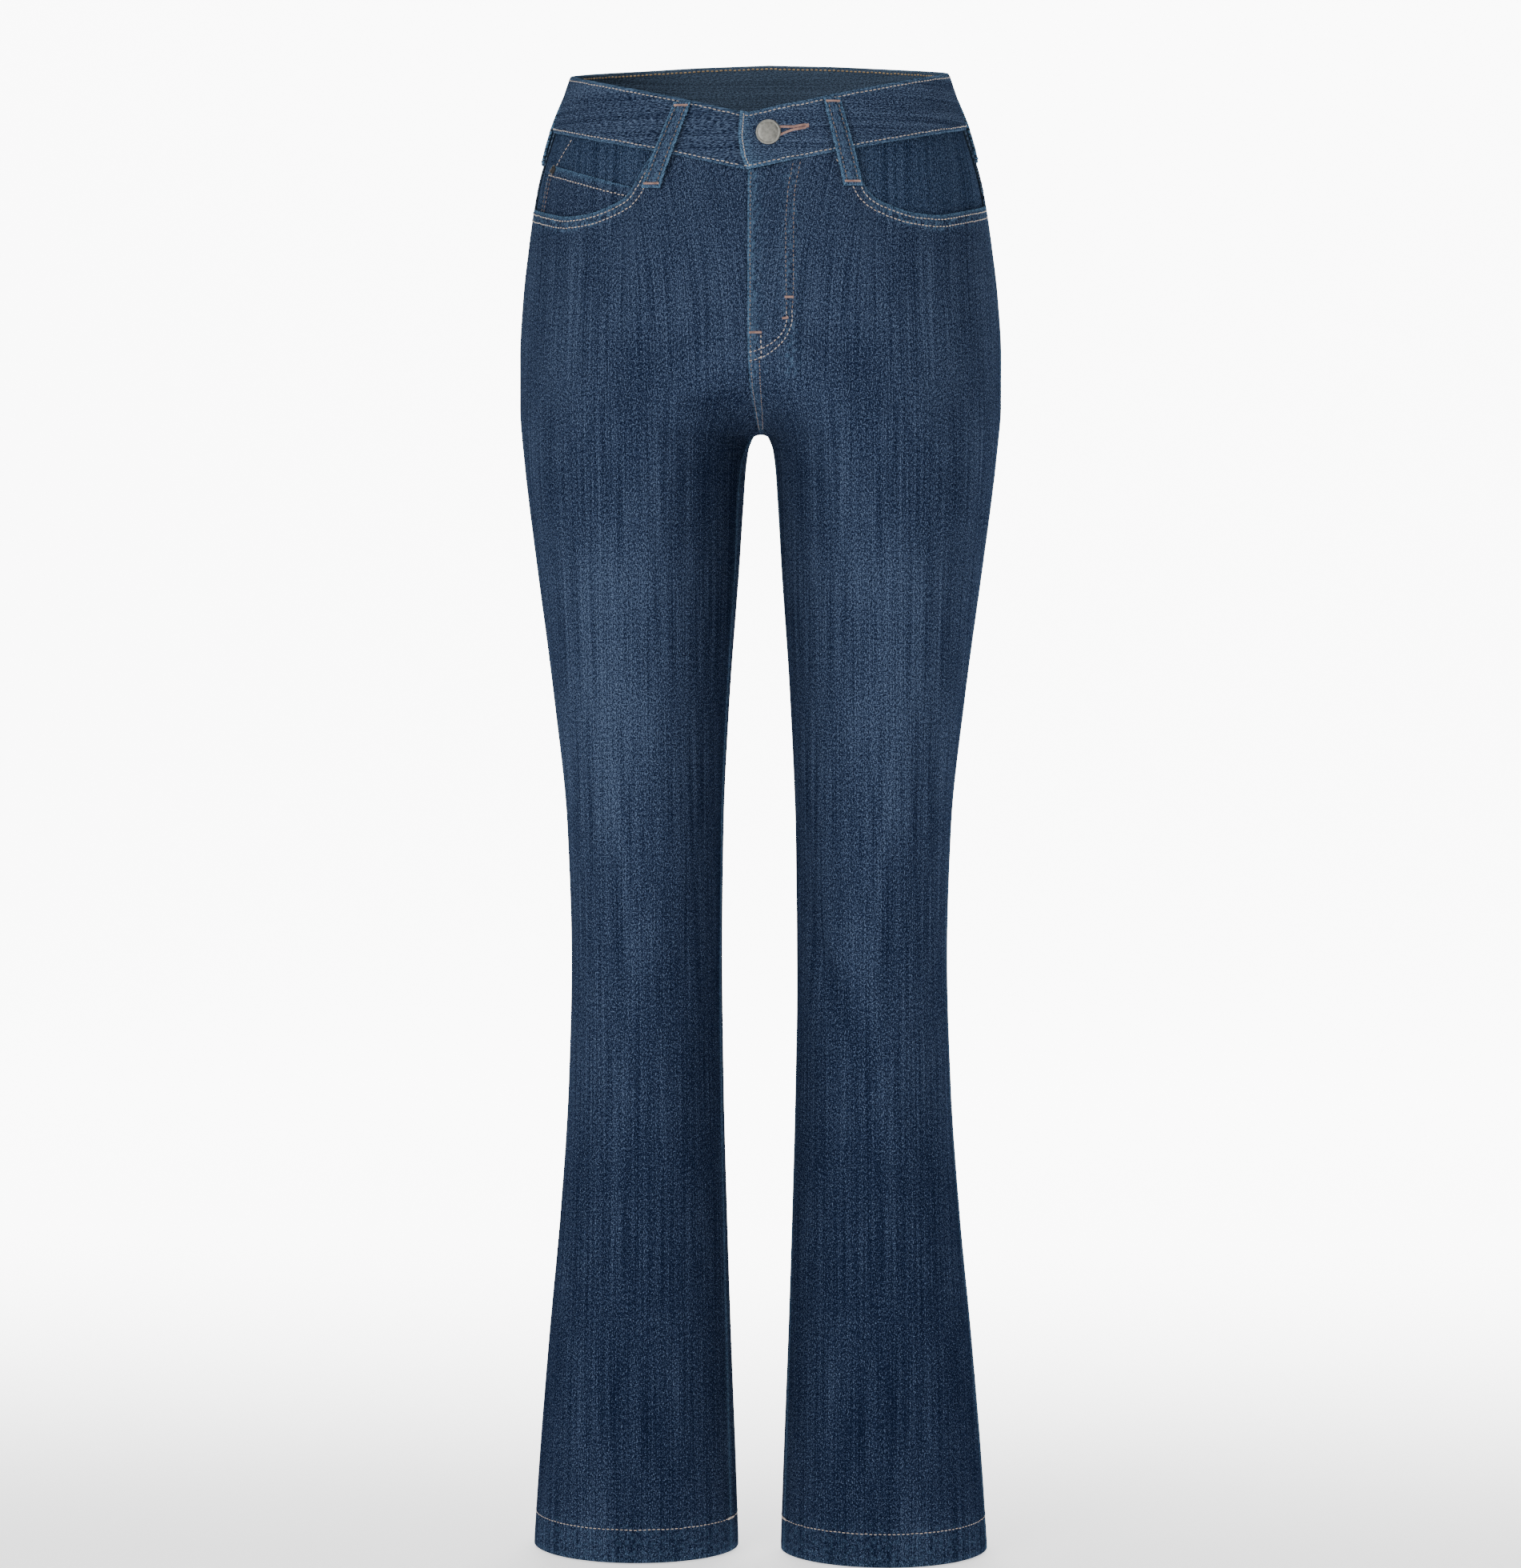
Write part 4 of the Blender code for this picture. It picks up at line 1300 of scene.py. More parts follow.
    def facing(self, side: Side) -> None:
        """Hip cloth seen in a pocket mouth.

        Args:
            side: The half.
        """
        g = self.garment

        def place(u: Array, v: Array) -> Pair:
            """Share and height; the outer end runs on under the yoke and the back.

            Args:
                u: 0 at the first column, 1 at the last.
                v: 0 at the first row, 1 at the last.

            Returns:
                Share and height in millimetres of each point.
            """
            part = self.facing_start + (1 - self.facing_start) * u
            z = self.facing_rows(g.base_share(part), v)
            under = self.facing_under * smoothstep((u - 0.95) / 0.05)
            return g.front_share(part, z) + under / g.length(z), z

        def layer(u: Array, v: Array, depth: float) -> Array:
            """Outer or inner points, which sink under the coin pocket.

            Args:
                u: 0 at the first column, 1 at the last.
                v: 0 at the first row, 1 at the last.
                depth: 0 for the outer layer, the wall for the inner one.

            Returns:
                Points in millimetres.
            """
            sink = 0.2 * (1.0 - smoothstep(v / 0.15))
            if side is Side.RIGHT:
                part = self.facing_start + (1 - self.facing_start) * u
                inside = smoothstep((part - 0.34) / 0.05) * smoothstep((0.92 - part) / 0.06)
                sink = sink + (g.wall + g.lay_gap) * inside * smoothstep(v / 0.24)
            return g.cloth(side, *place(u, v), -g.wall - g.facing_gap - sink - depth)

        Shell("pocket_facing_" + side.word, lines(34, 140.0), np.linspace(0, 1, 33), layer,
              # darker just under the waistband: painted shade; rubbed along the band's edge
              lambda u, v: (0.37 - 0.07 * near(100 * v, 6.0), 0.12 * near(100 * v, 3.0), 0.0),
              g.wall, name="denim_facing_" + side.word, slot="denim_facing"
              ).build(self.facing_denim)

    def coin_place(self, u: Array, v: Array) -> Pair:
        """Share and height on the coin pocket.

        Args:
            u: 0 and 1 at its two sides.
            v: 0 at the top, 1 at the foot.

        Returns:
            Share and height in millimetres of each point.
        """
        start, end = self.coin_parts
        part = start + (end - start) * u
        z = self.facing_rows(self.garment.base_share(part), 0.25 + 0.5 * v)
        return self.garment.front_share(part, z), z

    def coin_pocket(self) -> None:
        """Small pocket on the wearer's right facing."""
        g = self.garment
        Shell("coin_pocket", lines(26, 88.0), lines(14, 36.0),
              self.on_cloth(Side.RIGHT, self.coin_place, -g.wall - g.facing_gap),
              lambda u, v: (0.42, 0.8 * near(36 * v, 1.6) + 0.5 * near(88 * (1 - u), 1.5), 0.0),
              g.wall).build(self.denim)

    def back_pocket(self, side: Side) -> None:
        """Plain patch pocket.

        Args:
            side: The half.
        """
        g, wide, high = self.garment, 140, 145

        def looks(u: Array, v: Array) -> Looks:
            """Rubbed at all four edges, most at the mouth."""
            edges = (near(high * (1 - v), 1.5), near(wide * u, 1.5), near(wide * (1 - u), 1.5))
            return 0.44, 0.7 * near(high * v, 1.6) + 0.45 * sum(edges), 0.0

        Shell("back_pocket_" + side.word, lines(36, wide), lines(40, high),
              self.on_cloth(side, g.patch_place, g.lay_gap + g.wall), looks, g.wall
              ).build(self.denim)

    def hem(self, side: Side) -> None:
        """Turned-up cloth inside the foot of a leg.

        Args:
            side: The half.
        """
        g = self.garment

        def place(u: Array, v: Array) -> Pair:
            """Share and height; the last column lies on the first."""
            return 2.0 * np.where(u >= 1, 0.0, u), g.hem_z + g.hem_height * (1 - v)

        Shell("hem_" + side.word, np.linspace(0, 1, 121), lines(7, g.hem_height),
              self.on_cloth(side, place, -g.wall - g.lay_gap),
              lambda u, v: (0.4, 0.2 * near(g.hem_height * (1 - v), 1.5), 0.0), g.wall,
              reverse=0.0, ring=True).build(self.denim)

    def waistband(self) -> None:
        """One strip from the lapping end round the back to the end under the button."""
        g = self.garment
        high, length = g.band_drop, float(g.length(g.band_z))
        total = 4.0 + self.band_overlap / length

        def layer(u: Array, v: Array, depth: float) -> Array:
            """Outer or inner points, slightly crowned between the two stitch rows.

            Args:
                u: 0 at the first column, 1 at the last.
                v: 0 at the first row, 1 at the last.
                depth: 0 for the outer layer, the wall for the inner one.

            Returns:
                Points in millimetres.
            """
            run = u * total
            left = run <= 2.0
            signed = np.where(left, run, run - 4.0)
            early = np.clip(1 - u / 0.03, 0.0, 1.0)
            signed = np.where(left, signed - g.tab_end(v) / length * early, signed)
            lift = np.where(left, g.band_lift(signed), 0.0)
            crown = 0.35 * np.sin(math.pi * v) ** 0.5 if depth == 0.0 else 0.0
            return g.band(signed, high * v, lift + g.band_out + crown - depth)[0]

        def looks(u: Array, v: Array) -> Looks:
            """Rubbed and puckered at the rim, foot and lapping end.

            Args:
                u: 0 at the first column, 1 at the last.
                v: 0 at the first row, 1 at the last.

            Returns:
                Paleness, wear and pucker of each point.
            """
            run, foot = u * total * length, high * (1 - v)
            # paler towards the end under the button, darker along the foot
            fade_and_shade = 0.505 + 0.02 * smoothstep((u - 0.7) / 0.2) - 0.05 * near(foot, 4.0)
            wear = 0.6 * near(high * v, 1.3) + 0.45 * near(foot, 1.2)
            wear = wear + near(run, 2.2) + 0.9 * near(run, 9.0) * near(foot, 5.0)
            pull = 0.8 * near(high * v - 2.0, 1.5) + 0.6 * near(foot - 2.0, 1.5)
            return fade_and_shade, wear, pull + near(run - 4.0, 2.0)

        us = np.unique(np.concatenate((lines(330, 850.0), np.linspace(0, 0.05, 28))))
        # the band's inner face mixes in the cloth's pale side as painted light, brightening the
        # shaded inside of the band
        Shell("waistband", us, lines(14, high, 1.0), layer, looks, g.band_wall, reverse=0.6,
              crosswise=True).build(self.denim)

    def belt_loop(self, loop: Loop) -> None:
        """A belt loop with a raised middle between its stitch rows.

        Args:
            loop: The belt loop.
        """
        g, wide, high = self.garment, self.loop_width, self.garment.loop_length
        length = float(g.length(g.loop_z, loop.top >= 2.0))

        def ridge(u: Array) -> Array:
            """1 along the middle, lower at the stitch rows."""
            return np.cos((u - 0.5) * math.pi * 3)

        def layer(u: Array, v: Array, depth: float) -> Array:
            """Outer or inner points.

            Args:
                u: 0 at the first column, 1 at the last.
                v: 0 at the first row, 1 at the last.
                depth: 0 for the outer layer, the wall for the inner one.

            Returns:
                Points in millimetres.
            """
            crown = 0.3 * ridge(u) * (depth == 0.0)
            aside = (u - 0.5) * wide / length
            return g.loop_point(loop, v, aside, self.loop_wall - depth + crown)[0]

        def looks(u: Array, v: Array) -> Looks:
            """Pale along the middle, rubbed at its edges and ends.

            Args:
                u: 0 at the first column, 1 at the last.
                v: 0 at the first row, 1 at the last.

            Returns:
                Fade, wear and pucker of each point.
            """
            wear = 1.2 * near(wide * u, 1.3) + 1.2 * near(wide * (1 - u), 1.3)
            wear = wear + 0.5 * near(high * v, 2) + 0.5 * near(high * (1 - v), 2)
            return 0.40 + 0.12 * ridge(u), wear, 0.8

        Shell(loop.node, lines(8, wide, 0.7), lines(30, high, 1.0), layer, looks, self.loop_wall,
              reverse=0.0).build(self.denim)

    def cut_all(self) -> None:
        """Cut every cloth piece."""
        for side in Side:
            for cut in (self.front, self.back, self.yoke, self.facing, self.back_pocket, self.hem):
                cut(side)
        for loop in self.garment.loops():
            self.belt_loop(loop)
        self.coin_pocket()
        self.waistband()


# ------------------------------------------------------------------------- stitching
@dataclass
class Stitcher:
    """Sews rows of raised stitches on the cloth."""

    garment: Garment
    tailor: Tailor
    threads: dict[str, bpy.types.Material]
    pitch: float = 3.1
    wide_pitch: float = 3.3
    length: float = 2.3
    thick: float = 0.66
    wobble: float = 0.12
    raised: float = 0.12
    tack_pitch: float = 0.62
    tack_thick: float = 0.75
    rim_drop: float = 2.6
    foot_drop: float = 36.8
    hole_start: float = 17.0
    hole_length: float = 22.0
    hole_drop: float = 17.8
    hole_stitches: int = 34

    def __post_init__(self) -> None:
        """Model the one stitch that all rows repeat."""
        bm = bmesh.new()
        bmesh.ops.create_uvsphere(bm, u_segments=6, v_segments=4, radius=1.0,
                                  matrix=Matrix.Rotation(math.pi / 2, 4, "Y"))
        self.template = bpy.data.meshes.new("stitch")
        bm.to_mesh(self.template)
        bm.free()

    @contextmanager
    def piece(self, name: str, thread: str) -> Iterator[bmesh.types.BMesh]:
        """Open a mesh for stitches, and make a piece of it when they are sewn.

        Args:
            name: The piece's name.
            thread: Its thread.

        Yields:
            The open mesh.
        """
        bm = bmesh.new()
        yield bm
        bmesh.ops.recalc_face_normals(bm, faces=bm.faces)
        piece = finish_mesh(name, bm, self.threads[thread])
        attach(piece, "root")
        log.info("%s: %d faces", name, len(piece.data.polygons))

    def stitch(self, bm: bmesh.types.BMesh, at: Array, along: Array, out: Array,
               length: float, thick: float) -> None:
        """Add one stitch: a small rounded bar.

        Args:
            bm: The mesh to add to.
            at: Its middle, in millimetres.
            along: Its direction.
            out: The cloth's normal.
            length: Its length.
            thick: Its thickness.
        """
        x = Vector(along).normalized()
        y = Vector(out).normalized().cross(x).normalized()
        turn = Matrix((x, y, x.cross(y))).transposed().to_4x4()
        size = Matrix.Diagonal((length / 2 * MM, thick / 2 * MM, thick * 0.42 * MM, 1.0))
        bar = self.template.copy()
        bar.transform(Matrix.Translation(Vector(at) * MM) @ turn @ size)
        bm.from_mesh(bar)
        bpy.data.meshes.remove(bar)

    def row(self, bm: bmesh.types.BMesh, line: Pair, seed: int, pitch: float = 0.0,
            thick: float = 0.0) -> None:
        """Sew along a line.

        Args:
            bm: The mesh to add to.
            line: Points in millimetres, close together, and the normals there.
            seed: For the stitches' straying.
            pitch: Distance from stitch to stitch, or 0 for the usual one.
            thick: Thickness of the thread, or 0 for the usual one.
        """
        points, outs = line
        step = np.linalg.norm(np.diff(points, axis=0), axis=1)
        run = np.concatenate(([0.0], np.cumsum(step)))
        pitch = pitch or self.pitch
        count = max(1, int(run[-1] / pitch))
        rng = np.random.default_rng(seed)
        middle = (np.arange(count) + 0.5) * run[-1] / count

        def along(where: Array, rows: Array) -> Array:
            """Rows at distances along the line."""
            return np.stack([np.interp(where, run, rows[:, k]) for k in range(3)], axis=-1)

        for a, b, n in zip(along(middle - 0.9, points), along(middle + 0.9, points),
                           along(middle, outs)):
            if np.linalg.norm(b - a) < 1e-6:
                continue
            side = np.cross(n, b - a)
            side /= max(np.linalg.norm(side), 1e-9)
            at = (a + b) / 2 + side * rng.normal(0, self.wobble) + n * self.raised
            length = self.length * pitch / self.pitch * rng.uniform(0.9, 1.06)
            self.stitch(bm, at, b - a, n, length, thick or self.thick)

    def tack(self, bm: bmesh.types.BMesh, line: Pair, width: float = 1.9) -> None:
        """A bar tack: close stitches across a line of two points.

        Args:
            bm: The mesh to add to.
            line: The two points and their normals.
            width: Length of its stitches.
        """
        (a, b), out = line[0], line[1][0]
        length = float(np.linalg.norm(b - a))
        across = np.cross(out, b - a)
        across /= np.linalg.norm(across)
        for w in np.arange(0.3, length, self.tack_pitch):
            self.stitch(bm, a + (b - a) * w / length + out * 0.25, across, out, width,
                        self.tack_thick)

    def line(self, side: Side, share: Array, z: Array, out: Array | float = 0.0) -> Pair:
        """Points and normals of a line on the cloth."""
        g = self.garment
        return g.cloth(side, share, z, out), g.normal(share, z) * side.mirror

    def fly_line(self, around: Array, z: Array) -> Pair:
        """Points and normals of a line on the lapping front, at distances from its edge.

        Args:
            around: Distances from its edge.
            z: Heights.

        Returns:
            The points and normals.
        """
        g = self.garment
        share = g.share_of(around, z)
        return self.line(Side.LEFT, share, z, g.fly_relief(Side.LEFT, share, z))

    def below_band(self, around: Array, drop: Array) -> Array:
        """Height at a drop below the waistband, for points a distance from centre front."""
        g = self.garment
        return g.band_foot(g.share_of(around, np.full(np.shape(around), g.yoke_z))) - drop

    def sew_fly(self) -> None:
        """The curved double row of the fly, a short thick row at its foot and the rows under it."""
        curves = []
        straight, bend = 105.0, 115
        for drops, arounds, foot in (
                ((0.0, 26.0, 52.0, 89.0, straight), (36.2, 32.0, 31.6, 31.6, 30.4), 130.0),
                ((0.0, 20.0, 46.0, 89.0, straight), (31.4, 27.6, 26.2, 26.6, 27.0), 124.5)):
            drop = np.linspace(1.5, straight, 120)
            around = Smooth(drops, arounds)(drop)
            turn = np.linspace(0, math.pi / 2, 40)[1:]
            drop = np.concatenate((drop, straight + (foot - straight) * np.sin(turn)))
            around = np.concatenate((around, arounds[-1] * np.cos(turn) ** 0.8 + 0.6))
            curves.append(self.fly_line(around, self.below_band(around, drop)))
        with self.piece("stitching_fly", "brown") as bm:
            for seed, (p, n) in enumerate(curves, 1):
                self.row(bm, (p[:bend + 1], n[:bend + 1]), seed)
            z = np.linspace(-75.0, -204.0, 130)
            self.row(bm, self.fly_line(np.full(130, 1.9), z), 3)
            for around, seed in ((2.2, 4), (8.0, 5)):
                z = np.linspace(-203.0, -250.5, 60)
                self.row(bm, self.fly_line(np.linspace(around, around * 0.9, 60), z), seed)
        with self.piece("stitching_fly_curve", "tan") as bm:
            for seed, (p, n) in enumerate(curves, 7):
                self.row(bm, (p[bend:], n[bend:]), seed)
            z = np.linspace(-186.0, -203.0, 24)
            self.row(bm, self.fly_line(np.full(24, 9.2), z), 9, thick=0.85)

    def sew_tacks(self) -> None:
        """Bar tacks at the fly and at both ends of the belt loops."""
        g = self.garment
        length = float(g.length(g.loop_z))
        with self.piece("bar_tacks", "pink") as bm:
            for around, z in (((25.6, 32.0), (-161.0, -161.0)), ((23.8, 28.0), (-175.5, -175.0)),
                              ((1.0, 9.8), (-185.0, -185.0))):
                self.tack(bm, self.fly_line(np.array(around), np.array(z)))
            for loop in g.loops():
                for v in (0.045, 0.955):
                    aside = np.array([-4.9, 4.9]) / length
                    self.tack(bm, g.loop_point(loop, np.full(2, v), aside, 2.25), 1.7)

    def sew_mouths(self) -> None:
        """Two rows under each pocket mouth."""
        g = self.garment
        length = 205.0
        u = np.linspace(0.335, 0.995, 200)
        base, top = g.base_share(u), g.front_top(u)
        tangent = np.gradient(np.stack((base * length, top), axis=1), axis=0)
        tangent /= np.linalg.norm(tangent, axis=1, keepdims=True)
        with self.piece("stitching_pocket_mouths", "tan") as bm:
            for side in Side:
                for k, inset in enumerate((3.2, 8.0)):
                    z = top - np.abs(tangent[:, 0]) * inset
                    share = np.clip((base * length + tangent[:, 1] * inset) / length, 0, 0.955)
                    keep = z < g.band_foot(share) - 2.0
                    share = g.front_share(u, z) + (share - base)
                    self.row(bm, self.line(side, share[keep], z[keep]), 20 + k + side.value,
                             thick=0.8)

    def sew_coin_pocket(self) -> None:
        """The coin pocket's row, the row beside it and the rows at its outer edge."""
        g, t = self.garment, self.tailor
        deep, edge = -g.wall - g.facing_gap, t.coin_parts[1]
        with self.piece("stitching_coin_pocket", "tan") as bm:
            part = np.linspace(0.40, 0.845, 120)
            z = t.facing_rows(g.base_share(part), np.full(120, 0.25)) - 7.0
            self.row(bm, self.line(Side.RIGHT, g.front_share(part, z), z, deep), 37, thick=0.85)
            around = np.linspace(141.0, 160.0, 40)[2:]
            z = self.below_band(around, np.linspace(-1.0, 21.0, 40)[2:])
            self.row(bm, self.line(Side.RIGHT, g.share_of(around, z), z, deep), 34)
        with self.piece("stitching_coin_sides", "brown") as bm:
            for inset, seed in ((1.8, 41), (6.8, 46)):
                part = np.full(2, edge - inset / 192.0)
                high, low = t.facing_rows(g.base_share(part), np.array([0.25, 0.75]))
                z = np.linspace(high - 2.0, low + 2.0, 60)
                self.row(bm, self.line(Side.RIGHT, g.front_share(part[0], z), z, deep), seed)

    def sew_band(self) -> None:
        """The waistband's rows and the buttonhole."""
        g = self.garment
        length = float(g.length(g.band_z))
        half = 700
        signed = np.concatenate((np.linspace(-2.8 / length, 1.999, half),
                                 -np.linspace(1.999, 0.03, half)))
        lift = np.where(np.arange(2 * half) < half, g.band_lift(signed), 0.0)
        for name, drop, seed in (("rim", self.rim_drop, 52), ("foot", self.foot_drop, 86)):
            with self.piece("stitching_band_" + name, "tan") as bm:
                self.row(bm, g.band(signed, drop, lift + g.band_out + 0.15), seed,
                         self.wide_pitch, 0.72)
        with self.piece("stitching_band_inside", "gold") as bm:
            p, n = g.band(signed[60:1300], self.rim_drop, g.band_out - 0.056 - g.band_wall)
            self.row(bm, (p, -n), 52, self.wide_pitch, 1.25)
        with self.piece("stitching_band_end", "tan") as bm:
            v = np.linspace(0.06, 0.94, 18)
            signed = -(g.tab_end(v) - self.rim_drop) / length
            for p, n in zip(*g.band(signed, g.band_drop * v, g.band_lift(signed) + 0.95)):
                self.stitch(bm, p, np.array([0.1, 0.0, -1.0]), n, 2.0, self.thick)
        with self.piece("stitching_buttonhole", "pink") as bm:
            count = self.hole_stitches
            k = np.repeat(np.arange(count), 2)
            edge = np.tile((-1.0, 1.0), count) * (3.1 - 2.1 * smoothstep(k / 20))
            drop = self.hole_drop - edge * np.where(k < count - 3, 1.0, 0.5)
            signed = (self.hole_start + self.hole_length * k / (count - 1)) / length
            for p, n in zip(*g.band(signed, drop, g.band_lift(signed) + 1.0)):
                self.stitch(bm, p, np.array([0.0, 0.0, 1.0]), n, 2.1, 0.85)

    def sew_loops(self) -> None:
        """Two rows down each belt loop."""
        g = self.garment
        length = float(g.length(g.loop_z))
        v = np.linspace(0.03, 0.97, 40)
        with self.piece("stitching_belt_loops", "brown") as bm:
            for seed, loop in enumerate(g.loops(), 60):
                for across in (-3.4, 3.4):
                    self.row(bm, g.loop_point(loop, v, np.full(40, across / length), 2.1), seed)

    def sew_hems(self) -> None:
        """One row round each leg above its hem, with a tack at the inseam."""
        g = self.garment
        with self.piece("stitching_hems", "tan") as bm:
            for side in Side:
                z = np.full(400, g.hem_z + g.hem_height - 1.0)
                self.row(bm, self.line(side, np.linspace(0.0, 2.0, 400), z), 70 + side.value,
                         self.wide_pitch)
                around = g.at("inseam", g.hem_z) + np.array([-4.5, 4.5])
                self.tack(bm, self.line(side, g.share_of(around, z[:2]), z[:2], 0.3), 1.6)

    def sew_seams(self) -> None:
        """Back rise, yokes and back pockets."""
        g = self.garment
        for side in Side:
            with self.piece("stitching_back_" + side.word, "tan") as bm:
                for inset, seed in ((2.0, 1), (6.8, 2)):
                    part = np.linspace(0.01, 0.995, 160)
                    z = g.back_top(part) + 0.3 + inset
                    self.row(bm, self.line(side, g.back_share(part, z), z),
                             90 + seed + side.value)
                    z = np.linspace(-54.0, -235.0, 160)
                    if side is Side.LEFT:
                        self.row(bm, self.line(side, 2.0 - inset / g.length(z, True), z),
                                 100 + seed)
                self._pocket_rows(bm, side)

    def _pocket_rows(self, bm: bmesh.types.BMesh, side: Side) -> None:
        """Rows round a back pocket and under its mouth.

        Args:
            bm: The mesh to add to.
            side: The half.
        """
        g = self.garment
        out = g.lay_gap + g.wall
        for inset, seed in ((2.0, 112), (6.6, 116)):
            iu, iv = inset / 140.0, inset / 145.0
            down = np.linspace(0.01, 1 - iv, 60)
            u = np.concatenate((np.full(60, iu), np.linspace(iu, 1 - iu, 80), np.full(60, 1 - iu)))
            v = np.concatenate((down, np.full(80, 1 - iv), down[::-1]))
            self.row(bm, self.line(side, *g.patch_place(u, v), out), seed + side.value)
        for drop, seed in ((0.06, 126), (0.125, 132)):
            u = np.linspace(0.02, 0.98, 80)
            self.row(bm, self.line(side, *g.patch_place(u, np.full(80, drop)), out), seed)

    def sew_all(self) -> None:
        """Sew every row."""
        for sew in (self.sew_fly, self.sew_tacks, self.sew_mouths, self.sew_coin_pocket,
                    self.sew_band, self.sew_loops, self.sew_hems, self.sew_seams):
            sew()


# ---------------------------------------------------------------------- metal trims
@dataclass
class Trims:
    """The shank button and the coin pocket's rivet."""

    garment: Garment
    pewter: bpy.types.Material
    black: bpy.types.Material
    button_around: float = 14.0
    button_drop: float = 17.0
    button_z: float = -50.0          # level at which its distance round is taken
    rivet_part: float = 0.85         # the coin pocket's outer edge
    rivet_around: float = 9.0        # from that edge
    rivet_drop: float = 4.0

    def turned(self, name: str, profile: Sequence[tuple[float, float]], centre: Array,
               axis: Array, material: bpy.types.Material, steps: int) -> bpy.types.Object:
        """Spin a profile about an axis.

        Args:
            name: The piece's name.
            profile: Rows of radius and height, from the middle of the back to the front.
            centre: Where the axis starts, in millimetres.
            axis: Its direction.
            material: The finish.
            steps: Steps round.

        Returns:
            The piece.
        """
        bm = bmesh.new()
        axis = np.asarray(axis) / np.linalg.norm(axis)
        side = np.cross(axis, [0.0, 0.0, 1.0])
        side /= np.linalg.norm(side)
        verts = [bm.verts.new((centre + axis * h + side * r) * MM) for r, h in profile]
        edges = [bm.edges.new(pair) for pair in zip(verts, verts[1:])]
        bmesh.ops.spin(bm, geom=verts + edges, cent=centre * MM, axis=axis, steps=steps,
                       angle=2 * math.pi, use_merge=True)
        bmesh.ops.remove_doubles(bm, verts=list(bm.verts), dist=2e-6)
        bmesh.ops.recalc_face_normals(bm, faces=bm.faces)
        log.info("%s built", name)
        return finish_mesh(name, bm, material)

    def button(self) -> None:
        """Plain shank button with a raised rim and a shallow dish."""
        g = self.garment
        share = np.array(self.button_around / float(g.length(self.button_z)))
        z = g.at("rim", share) - self.button_drop
        profile = ((0.0, 4.0), (7.2, 4.0), (8.2, 4.35), (8.6, 4.8), (8.7, 5.2), (8.6, 5.6),
                   (8.3, 5.9), (7.9, 6.05), (7.5, 6.05), (7.3, 5.9), (7.1, 5.87), (6.9, 6.0),
                   (5.0, 6.12), (2.5, 6.2), (0.0, 6.22))
        piece = self.turned("pewter_button", profile, g.smooth_point(share, z),
                            g.normal(share, z), self.pewter, 48)
        stand_in(piece, "button")

    def rivet(self) -> None:
        """Small dark rivet at the coin pocket's corner."""
        g = self.garment
        part = np.array([self.rivet_part])
        base = g.base_share(part)
        z = g.band_foot(base) - g.at("coin", base * g.length(g.band_foot(base)))
        share = g.front_share(part, z) - g.share_of(self.rivet_around, z)
        z = z - self.rivet_drop
        profile = ((0.0, -1.45), (3.0, -1.45), (3.4, -1.25), (3.4, -0.95), (2.9, -0.6),
                   (2.3, -0.55), (2.0, -0.85), (1.2, -0.85), (1.0, -0.5), (0.0, -0.4))
        flip = Side.RIGHT.mirror
        piece = self.turned("dark_rivet", profile, g.smooth_point(share, z)[0] * flip,
                            g.normal(share, z)[0] * flip, self.black, 28)
        stand_in(piece, "coin_pocket_rivet")


